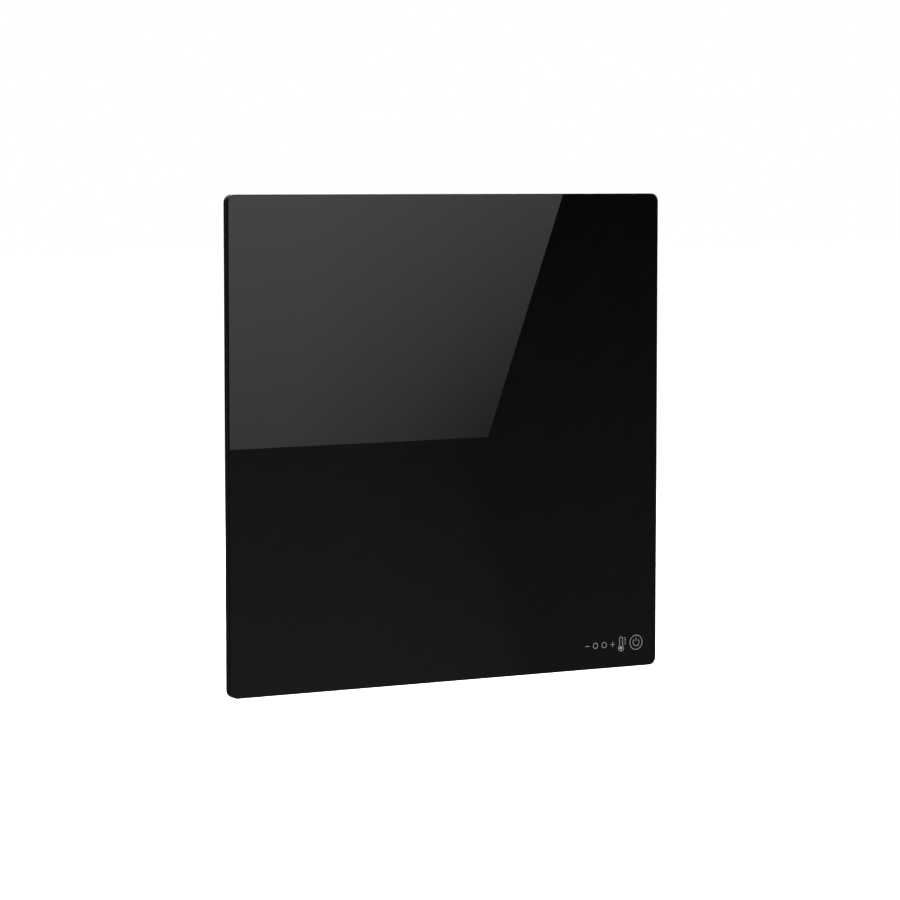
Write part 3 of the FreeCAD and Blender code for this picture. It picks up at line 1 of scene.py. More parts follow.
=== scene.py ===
"""Flat glass panel heater: studio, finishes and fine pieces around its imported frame."""
import json
import logging
import math
from collections.abc import Iterable, Mapping, Sequence
from dataclasses import dataclass
from enum import Enum
from functools import cache

import bmesh
import bpy
from mathutils import Matrix, Vector
from mathutils.bvhtree import BVHTree


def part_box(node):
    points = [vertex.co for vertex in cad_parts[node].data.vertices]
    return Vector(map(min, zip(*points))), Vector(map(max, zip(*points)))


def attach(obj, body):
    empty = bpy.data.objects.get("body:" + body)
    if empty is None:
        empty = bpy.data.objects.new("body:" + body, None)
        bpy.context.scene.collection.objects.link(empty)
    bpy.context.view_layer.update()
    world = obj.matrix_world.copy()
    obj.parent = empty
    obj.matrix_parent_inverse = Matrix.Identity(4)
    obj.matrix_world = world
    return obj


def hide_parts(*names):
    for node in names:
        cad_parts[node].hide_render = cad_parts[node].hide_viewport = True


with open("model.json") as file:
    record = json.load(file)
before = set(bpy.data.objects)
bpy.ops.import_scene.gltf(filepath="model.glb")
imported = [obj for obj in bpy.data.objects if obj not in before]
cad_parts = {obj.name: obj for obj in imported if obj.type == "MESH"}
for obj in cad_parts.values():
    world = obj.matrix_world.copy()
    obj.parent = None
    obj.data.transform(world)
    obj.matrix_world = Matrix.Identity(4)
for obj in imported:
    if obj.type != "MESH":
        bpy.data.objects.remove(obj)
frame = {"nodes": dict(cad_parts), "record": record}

LOG = logging.getLogger("panel_heater")
MM = 0.001
IMAGE_SIZE = 900
Colour = tuple[float, float, float]
Point = tuple[float, float, float]
Flat = tuple[float, float]
Node = bpy.types.Node
Object = bpy.types.Object
Socket = bpy.types.NodeSocket
Sockets = Mapping[str, Socket]
BOLT_PLACES = [(x, z) for x in (-200 * MM, 200 * MM) for z in (-200 * MM, 200 * MM)]
ROUND_STEPS = 24
WHITE = (1.0, 1.0, 1.0)


class Tree:
    """A shader or geometry node tree while it is being wired."""

    def __init__(self, tree: bpy.types.NodeTree) -> None:
        """Takes over a tree."""
        self.tree = tree

    @classmethod
    def emptied(cls, owner: bpy.types.Material | bpy.types.World) -> "Tree":
        """Clears the nodes of a material or of the world.

        Args:
            owner: what the nodes belong to.

        Returns:
            Its empty tree.
        """
        owner.use_nodes = True
        owner.node_tree.nodes.clear()
        return cls(owner.node_tree)

    def feed(self, socket: Socket, value: object) -> None:
        """Links a socket, or sets its own value.

        Args:
            socket: the input to feed.
            value: an output socket, a plain value or a colour.
        """
        if isinstance(value, Socket):
            self.tree.links.new(value, socket)
        elif socket.type == "RGBA":
            socket.default_value = (*value, 1.0)
        else:
            socket.default_value = value

    def add(self, kind: str, feeds: dict | None = None, **settings: object) -> Node:
        """Adds one node.

        Args:
            kind: the node's type name.
            feeds: values or sockets by input name or index.
            **settings: attributes of the node.

        Returns:
            The new node.
        """
        node = self.tree.nodes.new(kind)
        for name, setting in settings.items():
            setattr(node, name, setting)
        for key, value in (feeds or {}).items():
            self.feed(node.inputs[key], value)
        return node

    def math(self, operation: str, *values: object, clamp: bool = False) -> Socket:
        """Adds a Math node on values in their order, and gives its result."""
        feeds = dict(enumerate(values))
        return self.add("ShaderNodeMath", feeds, operation=operation, use_clamp=clamp).outputs[0]

    def times(self, first: object, second: object) -> Socket:
        """Multiplies two values."""
        return self.math("MULTIPLY", first, second)

    def vector(self, operation: str, *values: object) -> Socket:
        """Adds a Vector Math node, and gives its vector, or the number of a length or dot product."""
        node = self.add("ShaderNodeVectorMath", dict(enumerate(values)), operation=operation)
        return node.outputs["Value" if operation in {"LENGTH", "DOT_PRODUCT"} else "Vector"]

    def mix(self, share: object, first: object, second: object) -> Socket:
        """Mixes two colours, by the share of the second."""
        feeds = {0: share, 6: first, 7: second}
        return self.add("ShaderNodeMix", feeds, data_type="RGBA").outputs[2]

    def remap(
        self, value: object, low: float, high: float, to_low: float = 0.0, to_high: float = 1.0
    ) -> Socket:
        """Stretches the range from low to high onto another, held at its ends."""
        feeds = {0: value, 1: low, 2: high, 3: to_low, 4: to_high}
        return self.add("ShaderNodeMapRange", feeds, clamp=True).outputs[0]

    def noise(self, place: object, scale: object, detail: float = 2.0, warp: float = 0.0) -> Socket:
        """Adds a noise texture, and gives its value."""
        feeds = {"Vector": place, "Scale": scale, "Detail": detail, "Distortion": warp}
        return self.add("ShaderNodeTexNoise", feeds).outputs[0]

    def place(self) -> Socket:
        """Gives object coordinates."""
        return self.add("ShaderNodeTexCoord").outputs["Object"]

    def parts(self, place: object) -> list[Socket]:
        """Splits a vector into its x, y and z sockets."""
        return list(self.add("ShaderNodeSeparateXYZ", {0: place}).outputs)

    def join(self, x: object, y: object, z: object) -> Socket:
        """Joins three values into a vector."""
        return self.add("ShaderNodeCombineXYZ", {0: x, 1: y, 2: z}).outputs[0]

    def along(self, place: object, way: Point) -> Socket:
        """Measures how far a place lies along a direction."""
        return self.vector("DOT_PRODUCT", place, way)

    def waves(self, place: object, way: Point, scale: float) -> Socket:
        """Lays sine waves across a direction."""
        return self.math("SINE", self.times(self.along(place, way), scale))

    def streaks(self, relief: Socket) -> tuple[Socket, Socket]:
        """Lets a share follow a relief, and gives both."""
        return self.remap(relief, 0.3, 0.7), relief

    def turned(self, angles: object) -> Socket:
        """Makes a rotation from three angles."""
        return self.add("FunctionNodeEulerToRotation", {0: angles}).outputs[0]

    def stand(self, points: Socket, shape: Socket, turn: Socket) -> Socket:
        """Stands a turned copy of a shape on every point."""
        feeds = {"Points": points, "Instance": shape, "Rotation": turn}
        return self.add("GeometryNodeInstanceOnPoints", feeds).outputs[0]


@dataclass(frozen=True)
class Effect:
    """A shader node group that several finishes place with values of their own."""

    name: str = "effect"
    takes: tuple[tuple[str, float], ...] = ()
    gives: tuple[str, ...] = ("Mask",)

    def wire(self, tree: Tree, taken: Sockets, given: Sockets) -> None:
        """Wires the inside of the group.

        Args:
            tree: the group's tree.
            taken: the sockets of its inputs by name.
            given: the sockets of its outputs by name.
        """
        raise NotImplementedError

    def place(self, tree: Tree, **values: float) -> Sockets:
        """Puts the group into a material.

        Args:
            tree: the material's tree.
            **values: its inputs by name.

        Returns:
            The sockets that the group puts out.
        """
        group = bpy.data.node_groups.get(self.name) or self.build()
        return tree.add("ShaderNodeGroup", values, node_tree=group).outputs

    def build(self) -> bpy.types.NodeTree:
        """Builds the group.

        Returns:
            The group.
        """
        group = bpy.data.node_groups.new(self.name, "ShaderNodeTree")
        for name, value in self.takes:
            socket = group.interface.new_socket(name, in_out="INPUT", socket_type="NodeSocketFloat")
            socket.default_value = value
        for name in self.gives:
            group.interface.new_socket(name, in_out="OUTPUT", socket_type="NodeSocketFloat")
        tree = Tree(group)
        self.wire(tree, tree.add("NodeGroupInput").outputs, tree.add("NodeGroupOutput").inputs)
        return group


@dataclass(frozen=True)
class EdgeWear(Effect):
    """A mask that follows the outer edges of a solid and breaks up along them."""

    name: str = "edge_wear"
    takes: tuple[tuple[str, float], ...] = (("Width", 0.0004), ("Amount", 0.5), ("Patches", 300.0))

    def wire(self, tree: Tree, taken: Sockets, given: Sockets) -> None:
        """Compares the rounded normal with the true one, and thins the result by noise.

        Args:
            tree: the group's tree.
            taken: width, amount and the scale of the patches.
            given: the mask.
        """
        rounded = tree.add("ShaderNodeBevel", {"Radius": taken["Width"]}, samples=4).outputs[0]
        true = tree.add("ShaderNodeNewGeometry").outputs["True Normal"]
        turned = tree.math("SUBTRACT", 1.0, tree.vector("DOT_PRODUCT", rounded, true))
        patches = tree.remap(tree.noise(tree.place(), taken["Patches"]), 0.42, 0.62)
        mask = tree.times(tree.remap(turned, 0.02, 0.25), patches)
        tree.feed(given["Mask"], tree.times(mask, taken["Amount"]))


@dataclass(frozen=True)
class SurfaceGrain(Effect):
    """The fine pebbled skin of a moulded, cast or coated surface."""

    name: str = "surface_grain"
    takes: tuple[tuple[str, float], ...] = (("Scale", 2500.0), ("Coarseness", 0.3))
    gives: tuple[str, ...] = ("Height", "Shade")

    def wire(self, tree: Tree, taken: Sockets, given: Sockets) -> None:
        """Adds a coarse swell to a fine grain.

        Args:
            tree: the group's tree.
            taken: the grain's scale and its coarseness.
            given: the relief and the shade that follows it.
        """
        place = tree.place()
        fine = tree.noise(place, taken["Scale"], 3.0)
        coarse = tree.noise(place, tree.times(taken["Scale"], 0.22), 2.0)
        swell = tree.times(tree.math("SUBTRACT", coarse, fine), taken["Coarseness"])
        height = tree.math("ADD", fine, swell)
        tree.feed(given["Height"], height)
        tree.feed(given["Shade"], tree.remap(height, 0.3, 0.7))


@dataclass(frozen=True)
class Dust(Effect):
    """Light dust that settles on faces that look up."""

    name: str = "settled_dust"
    takes: tuple[tuple[str, float], ...] = (("Amount", 0.2), ("Scale", 180.0))

    def wire(self, tree: Tree, taken: Sockets, given: Sockets) -> None:
        """Keeps the upward share of the normal, broken up by noise.

        Args:
            tree: the group's tree.
            taken: the amount and the scale of the clumps.
            given: the mask.
        """
        up = tree.parts(tree.add("ShaderNodeNewGeometry").outputs["Normal"])[2]
        clumps = tree.remap(tree.noise(tree.place(), taken["Scale"], 5.0), 0.35, 0.75)
        mask = tree.times(tree.remap(up, 0.2, 0.9), clumps)
        tree.feed(given["Mask"], tree.times(mask, taken["Amount"]))


@dataclass(frozen=True)
class Smears(Effect):
    """Faint wiped smears and specks, as a cleaned pane has them."""

    name: str = "wiped_smears"
    takes: tuple[tuple[str, float], ...] = (("Scale", 9.0), ("Stretch", 5.0))

    def wire(self, tree: Tree, taken: Sockets, given: Sockets) -> None:
        """Stretches warped noise along a slanting wipe.

        Args:
            tree: the group's tree.
            taken: the scale of the smears and how long they are.
            given: the mask.
        """
        place = tree.place()
        across = tree.times(tree.along(place, (-1.0, 0.0, 1.0)), taken["Stretch"])
        wiped = tree.join(tree.along(place, (1.0, 0.0, 0.6)), across, 0.0)
        wipe = tree.noise(wiped, taken["Scale"], 4.0, 0.8)
        tree.feed(given["Mask"], tree.remap(wipe, 0.45, 0.8))


EDGE_WEAR = EdgeWear()
GRAIN = SurfaceGrain()
DUST = Dust()
SMEARS = Smears()


@dataclass(frozen=True)
class Finish:
    """A surface whose colour drifts, with grain, dust and worn edges.

    Drift and grain are noise scales, swing is how far the roughness wanders, depth is the height of the
    relief in metres, and clear is the share of light that passes through.
    """

    name: str
    colour: Colour
    tint: Colour
    drift: float = 60.0
    roughness: float = 0.5
    swing: float = 0.1
    metal: float = 0.0
    grain: float = 2500.0
    depth: float = 0.00002
    coarseness: float = 0.3
    worn: Colour | None = None
    worn_width: float = 0.0004
    worn_amount: float = 0.5
    dust: float = 0.0
    dust_colour: Colour = (0.35, 0.33, 0.3)
    coat: float = 0.0
    clear: float = 0.0
    refraction: float = 1.5
    gloss: float = 0.5

    def pattern(self, tree: Tree, place: Socket) -> tuple[Socket, Socket]:
        """Lays out the share of the tint and the relief.

        Args:
            tree: the material's tree.
            place: object coordinates.

        Returns:
            The share's socket and the relief's socket.
        """
        skin = GRAIN.place(tree, Scale=self.grain, Coarseness=self.coarseness)
        share = tree.remap(tree.noise(place, self.drift, 3.0), 0.3, 0.7)
        return tree.math("ADD", share, tree.times(skin["Shade"], 0.35), clamp=True), skin["Height"]

    def tone(self, tree: Tree, share: Socket, relief: Socket) -> Socket:
        """Mixes the colour and its tint."""
        return tree.mix(share, self.colour, self.tint)

    @cache
    def make(self) -> bpy.types.Material:
        """Builds the material once.

        Returns:
            The material.
        """
        made = bpy.data.materials.new(self.name)
        tree = Tree.emptied(made)
        settings = {"Metallic": self.metal, "IOR": self.refraction, "Specular IOR Level": self.gloss}
        if self.coat:
            settings |= {"Coat Weight": self.coat, "Coat Roughness": 0.08}
        if self.clear:
            settings["Transmission Weight"] = self.clear
        shader = tree.add("ShaderNodeBsdfPrincipled", settings)
        place = tree.place()
        share, relief = self.pattern(tree, place)
        colour = self.tone(tree, share, relief)
        patches = tree.noise(place, self.drift * 1.7, 4.0)
        rough = tree.remap(patches, 0.25, 0.75, self.roughness - self.swing, self.roughness + self.swing)
        if self.worn:
            edges = EDGE_WEAR.place(tree, Width=self.worn_width, Amount=self.worn_amount)["Mask"]
            colour = tree.mix(edges, colour, self.worn)
            rough = tree.math("SUBTRACT", rough, tree.times(edges, 0.15))
        if self.dust:
            settled = DUST.place(tree, Amount=self.dust)["Mask"]
            colour = tree.mix(settled, colour, self.dust_colour)
            rough = tree.math("ADD", rough, tree.times(settled, 0.3), clamp=True)
        tree.feed(shader.inputs["Base Color"], colour)
        tree.feed(shader.inputs["Roughness"], rough)
        if self.depth:
            bump = tree.add("ShaderNodeBump", {"Height": relief, "Distance": self.depth, "Strength": 1.0})
            tree.feed(shader.inputs["Normal"], bump.outputs[0])
        tree.add("ShaderNodeOutputMaterial", {"Surface": shader.outputs[0]})
        return made


@dataclass(frozen=True)
class PolishedGlass(Finish):
    """Black enamelled glass with a fire-polished front and faint wiped smears."""

    def pattern(self, tree: Tree, place: Socket) -> tuple[Socket, Socket]:
        """Lets the smears lift the black by a trace."""
        smears = SMEARS.place(tree)["Mask"]
        return smears, smears


@dataclass(frozen=True)
class RolledMetal(Finish):
    """Sheet or foil with rolling streaks along x."""

    stretch: float = 40.0

    def pattern(self, tree: Tree, place: Socket) -> tuple[Socket, Socket]:
        """Stretches noise along the rolling direction."""
        rolled = tree.vector("MULTIPLY", place, (1.0, self.stretch, self.stretch))
        return tree.streaks(tree.noise(rolled, self.grain / self.stretch, 5.0))


@dataclass(frozen=True)
class TurnedMetal(Finish):
    """Metal from the lathe, with rings of tool marks about each stand-off's own axis."""

    centre: Flat = (0.2, 0.2)

    def pattern(self, tree: Tree, place: Socket) -> tuple[Socket, Socket]:
        """Draws rings by the distance from the nearest axis and by the height along it.

        Args:
            tree: the material's tree.
            place: object coordinates.

        Returns:
            The share's socket and the relief's socket.
        """
        x, y, z = tree.parts(place)
        across = tree.math("SUBTRACT", tree.math("ABSOLUTE", x), self.centre[0])
        along = tree.math("SUBTRACT", tree.math("ABSOLUTE", z), self.centre[1])
        radius = tree.vector("LENGTH", tree.join(across, 0.0, along))
        return tree.streaks(tree.noise(tree.join(radius, y, 0.0), self.grain, 2.0))


@dataclass(frozen=True)
class FlakeSheet(Finish):
    """Pressed sheet of overlapping flakes or fibres."""

    stretch: float = 1.0

    def pattern(self, tree: Tree, place: Socket) -> tuple[Socket, Socket]:
        """Mixes cells of two sizes, so that flakes lie over each other.

        Args:
            tree: the material's tree.
            place: object coordinates.

        Returns:
            The share's socket and the relief's socket.
        """
        laid = tree.vector("MULTIPLY", place, (1.0, 1.0, self.stretch))
        shift = tree.times(tree.noise(laid, 90.0), 0.004)
        warped = tree.vector("ADD", laid, tree.join(shift, 0.0, shift))
        cells = tree.add("ShaderNodeTexVoronoi", {"Vector": warped, "Scale": self.grain})
        small = tree.add("ShaderNodeTexVoronoi", {"Vector": laid, "Scale": self.grain * 3.1})
        shade = tree.add("ShaderNodeSeparateColor", {0: cells.outputs["Color"]}).outputs[0]
        relief = tree.math("ADD", tree.times(shade, 0.7), tree.times(small.outputs["Distance"], 0.4))
        return relief, relief


@dataclass(frozen=True)
class BraidedSleeve(Finish):
    """Sleeve with a fine woven braid, or with the slanting stripe of an earth lead."""

    stripe: float = 0.0

    def pattern(self, tree: Tree, place: Socket) -> tuple[Socket, Socket]:
        """Crosses two sets of slanting bands.

        Args:
            tree: the material's tree.
            place: object coordinates.

        Returns:
            The share's socket and the relief's socket.
        """
        right = tree.waves(place, (1.0, 1.0, 1.0), self.grain)
        left = tree.waves(place, (1.0, -1.0, -1.0), self.grain)
        weave = share = tree.math("ADD", tree.times(tree.times(right, left), 0.5), 0.5)
        if self.stripe:
            share = tree.remap(tree.waves(place, (1.0, 0.0, -1.0), self.stripe), -0.08, 0.08)
        return share, weave


@dataclass(frozen=True)
class PrintedBoard(Finish):
    """Solder resist over copper runs, with the laminate's weave in the edges."""

    copper: Colour = (0.045, 0.24, 0.085)

    def pattern(self, tree: Tree, place: Socket) -> tuple[Socket, Socket]:
        """Draws square-cornered runs from stepped cells.

        Args:
            tree: the material's tree.
            place: object coordinates.

        Returns:
            The share's socket and the relief's socket.
        """
        feeds = {"Vector": place, "Scale": self.grain}
        cells = tree.add("ShaderNodeTexVoronoi", feeds, distance="MANHATTAN", feature="DISTANCE_TO_EDGE")
        runs = tree.math("LESS_THAN", cells.outputs["Distance"], 0.09)
        return tree.noise(place, self.drift), runs

    def tone(self, tree: Tree, share: Socket, relief: Socket) -> Socket:
        """Lets the raised runs show the copper under the resist."""
        return tree.mix(relief, super().tone(tree, share, relief), self.copper)


BLACK_GLASS = PolishedGlass(
    "enamelled_glass", (0.0008, 0.0008, 0.0009), (0.0016, 0.0016, 0.0018), roughness=0.004, swing=0.003,
    depth=0.0,
)
GROUND_EDGE = Finish(
    "ground_glass_edge", (0.001, 0.0012, 0.0012), (0.003, 0.0036, 0.0036), 300.0, 0.16, 0.04, 0.0, 6000.0,
    0.000004,
)
PRINT_INK = Finish(
    "grey_print", (0.30, 0.31, 0.31), (0.36, 0.37, 0.37), 900.0, 0.42, 0.06, 0.0, 9000.0, 0.000003
)
WHITE_INK = Finish(
    "white_pad_print", (0.72, 0.72, 0.71), (0.80, 0.80, 0.79), 900.0, 0.5, 0.06, 0.0, 9000.0, 0.000004
)
SLOT_FINISHES: dict[str, Finish] = {
    "black_glass": BLACK_GLASS,
    "black_silicone": Finish(
        "silicone_seal", (0.003, 0.003, 0.0033), (0.0055, 0.0055, 0.006), 120.0, 0.55, 0.05, 0.0, 3000.0,
        0.00003, gloss=0.3,
    ),
    "coated_steel": Finish(
        "powder_coat", (0.0062, 0.0062, 0.0065), (0.0081, 0.0081, 0.0084), 170.0, 0.3, 0.012, 0.0, 900.0,
        0.00016, 0.5, (0.05, 0.05, 0.052), 0.0005, 0.35, dust=0.03, gloss=0.4,
    ),
    "mica": FlakeSheet(
        "mica_sheet", (0.42, 0.33, 0.19), (0.66, 0.56, 0.38), 25.0, 0.38, 0.1, 0.0, 260.0, 0.00003
    ),
    "element_alloy": RolledMetal(
        "rolled_alloy", (0.34, 0.32, 0.29), (0.48, 0.46, 0.42), 30.0, 0.34, 0.08, 1.0, 9000.0
    ),
    "aluminium_foil": RolledMetal(
        "bright_foil", (0.68, 0.68, 0.69), (0.86, 0.86, 0.87), 80.0, 0.2, 0.08, 1.0, 5000.0, 0.00008,
        stretch=12.0,
    ),
    "fibre_board": FlakeSheet(
        "mineral_fibre", (0.66, 0.63, 0.55), (0.88, 0.86, 0.8), 40.0, 0.92, 0.05, 0.0, 420.0, 0.0003,
        stretch=6.0,
    ),
    "brass_fittings": Finish(
        "plain_brass", (0.56, 0.38, 0.15), (0.76, 0.56, 0.27), 260.0, 0.3, 0.1, 1.0, 5000.0, 0.00001
    ),
    "tinned_brass": Finish(
        "tin_plate", (0.6, 0.58, 0.53), (0.8, 0.79, 0.75), 300.0, 0.28, 0.1, 1.0, 5000.0, 0.00001
    ),
    "cream_ceramic": Finish(
        "steatite", (0.74, 0.69, 0.57), (0.86, 0.83, 0.73), 90.0, 0.6, 0.1, 0.0, 1800.0, 0.00004
    ),
    "lead_sleeve_white": BraidedSleeve(
        "white_braid", (0.6, 0.59, 0.56), (0.86, 0.85, 0.82), 120.0, 0.72, 0.08, 0.0, 5200.0, 0.00012
    ),
    "lead_sleeve_brown": BraidedSleeve(
        "brown_sleeve", (0.14, 0.06, 0.025), (0.2, 0.09, 0.04), 120.0, 0.46, 0.06, 0.0, 7000.0, 0.00003
    ),
    "earth_sleeve": BraidedSleeve(
        "striped_sleeve", (0.05, 0.25, 0.05), (0.72, 0.62, 0.04), 120.0, 0.42, 0.05, 0.0, 7000.0,
        stripe=1100.0,
    ),
    "turned_aluminium": TurnedMetal(
        "black_anodised", (0.045, 0.045, 0.049), (0.1, 0.1, 0.108), 60.0, 0.32, 0.04, 0.7, 9000.0,
        0.00001, 0.3, (0.4, 0.4, 0.41), 0.0003, 0.4, coat=0.3,
    ),
    "zinc_steel": FlakeSheet(
        "zinc_plate", (0.46, 0.47, 0.5), (0.68, 0.69, 0.7), 200.0, 0.3, 0.08, 1.0, 900.0, 0.00001
    ),
    "black_screws": Finish(
        "black_oxide", (0.018, 0.018, 0.019), (0.045, 0.044, 0.042), 500.0, 0.36, 0.08, 1.0, 6000.0,
        0.00001, 0.3, (0.34, 0.33, 0.32), 0.00015, 0.45,
    ),
    "black_moulding": Finish(
        "spark_eroded_moulding", (0.013, 0.013, 0.0135), (0.017, 0.017, 0.0177), 90.0, 0.42, 0.012, 0.0,
        1250.0, 0.00014, 0.35, (0.05, 0.05, 0.051), 0.0006, 0.45, dust=0.03, gloss=0.4,
    ),
    "black_gloss_moulding": Finish(
        "satin_moulding", (0.009, 0.009, 0.0095), (0.014, 0.014, 0.0148), 90.0, 0.24, 0.03, 0.0, 2600.0,
        0.00001, 0.3, (0.035, 0.035, 0.035), 0.0003, 0.35,
    ),
    "green_board": PrintedBoard(
        "solder_resist", (0.014, 0.1, 0.036), (0.022, 0.14, 0.052), 60.0, 0.3, 0.06, 0.0, 170.0, 0.00003
    ),
    "blue_case": Finish(
        "blue_polyester", (0.024, 0.085, 0.3), (0.036, 0.115, 0.4), 140.0, 0.4, 0.06, 0.0, 3000.0
    ),
    "black_case": Finish(
        "black_epoxy", (0.02, 0.02, 0.021), (0.04, 0.04, 0.041), 140.0, 0.46, 0.06, 0.0, 3200.0, 0.00003
    ),
    "grey_case": Finish(
        "grey_polyamide", (0.38, 0.39, 0.38), (0.5, 0.51, 0.5), 120.0, 0.5, 0.06, 0.0, 2600.0, 0.00003
    ),
    "shield_can": RolledMetal(
        "tinned_sheet", (0.58, 0.58, 0.57), (0.74, 0.74, 0.73), 90.0, 0.28, 0.08, 1.0, 8000.0
    ),
    "capacitor_sleeve": Finish(
        "shrink_sleeve", (0.014, 0.022, 0.055), (0.03, 0.042, 0.09), 200.0, 0.26, 0.06, 0.0, 2000.0
    ),
    "fuse_glass": Finish(
        "tube_glass", (0.8, 0.83, 0.81), (0.9, 0.92, 0.9), 90.0, 0.06, 0.03, 0.0, 900.0, 0.00001, clear=0.9
    ),
    "clear_lens": Finish(
        "water_clear_lens", (0.86, 0.87, 0.87), (0.94, 0.95, 0.95), 120.0, 0.12, 0.05, 0.0, 2500.0,
        0.000005, clear=0.85, refraction=1.58,
    ),
    "clear_boot": Finish(
        "natural_nylon", (0.66, 0.66, 0.62), (0.8, 0.8, 0.77), 160.0, 0.44, 0.06, 0.0, 2200.0, clear=0.25
    ),
    "grey_button": Finish(
        "button_grey", (0.22, 0.22, 0.23), (0.29, 0.29, 0.3), 120.0, 0.4, 0.05, 0.0, 3400.0, 0.00002, 0.3,
        (0.4, 0.4, 0.4), 0.0003, 0.3,
    ),
    "gland_nylon": Finish(
        "moulded_nylon", (0.013, 0.013, 0.014), (0.02, 0.02, 0.021), 110.0, 0.36, 0.03, 0.0, 1500.0,
        0.00004, 0.3, (0.05, 0.05, 0.05), 0.0004, 0.4,
    ),
}


def arc(centre: Flat, radius: float, start: float, end: float, steps: int) -> list[Flat]:
    """Draws an arc in so many runs between two angles in degrees, both ends included."""
    turns = [math.radians(start + (end - start) * i / steps) for i in range(steps + 1)]
    return [(centre[0] + radius * math.cos(t), centre[1] + radius * math.sin(t)) for t in turns]


def circle(centre: Flat, radius: float, steps: int) -> list[Flat]:
    """Draws a circle of so many points."""
    return arc(centre, radius, 0.0, 360.0 - 360.0 / steps, steps - 1)


def round_box(centre: Flat, half: Flat, corner: float) -> list[Flat]:
    """Draws a rectangle with round corners.

    Args:
        centre: its middle.
        half: its half sizes.
        corner: the corner radius.

    Returns:
        Its points, anticlockwise.
    """
    points = []
    for quarter, (sx, sy) in enumerate(((1, 1), (-1, 1), (-1, -1), (1, -1))):
        middle = (centre[0] + sx * (half[0] - corner), centre[1] + sy * (half[1] - corner))
        points += arc(middle, corner, 90.0 * quarter, 90.0 * (quarter + 1), ROUND_STEPS)
    return points


def stood(line: Iterable[Flat], y: float) -> list[Point]:
    """Stands a line in x and z at one y."""
    return [(x, y, z) for x, z in line]


def stacked(
    centre: Flat, half: Flat, corner: float, section: Iterable[Flat], least: float = 0.0
) -> list[list[Point]]:
    """Stacks rectangles with round corners, each shrunk by its own amount.

    Args:
        centre: their middle in x and z.
        half: the half sizes of one that isn't shrunk.
        corner: its corner radius.
        section: how far inwards and at which y each lies.
        least: the smallest corner radius.

    Returns:
        The rings.
    """
    rings = []
    for inwards, y in section:
        size = (half[0] - inwards, half[1] - inwards)
        rings.append(stood(round_box(centre, size, max(corner - inwards, least)), y))
    return rings


def flat_box(node: str, inset: float = 0.0) -> tuple[Flat, Flat]:
    """Measures a node's box in x and z.

    Args:
        node: the node.
        inset: how far each side of the box is drawn in.

    Returns:
        Its middle and its half sizes.
    """
    low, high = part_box(node)
    middle = ((low.x + high.x) / 2, (low.z + high.z) / 2)
    return middle, ((high.x - low.x) / 2 - inset, (high.z - low.z) / 2 - inset)


def box_corners(node: str, inset: float) -> list[Flat]:
    """Gives the four places in x and z that lie inside the corners of a node's box."""
    (x, z), (wide, tall) = flat_box(node, inset)
    return [(a, b) for a in (x - wide, x + wide) for b in (z - tall, z + tall)]


def put(name: str, data: bpy.types.ID) -> Object:
    """Puts a new object into the scene, at the origin.

    Args:
        name: the object's name.
        data: its mesh, lamp or camera.

    Returns:
        The object.
    """
    made = bpy.data.objects.new(name, data)
    bpy.context.scene.collection.objects.link(made)
    return made


def smooth(mesh: bpy.types.Mesh, sharp: float = 32.0) -> None:
    """Shades a mesh smooth, apart from edges of more than so many degrees."""
    mesh.shade_smooth()
    mesh.set_sharp_from_angle(angle=math.radians(sharp))


def dress(piece: Object, body: str, stands_for: Sequence[str] = ()) -> None:
    """Makes a finished piece ride on its body and reports it.

    Args:
        piece: the piece.
        body: the body it moves with.
        stands_for: the nodes it stands for.
    """
    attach(piece, body)
    if stands_for:
        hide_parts(*stands_for)
    LOG.info("%s: %d faces on %s", piece.name, len(piece.data.polygons), body)


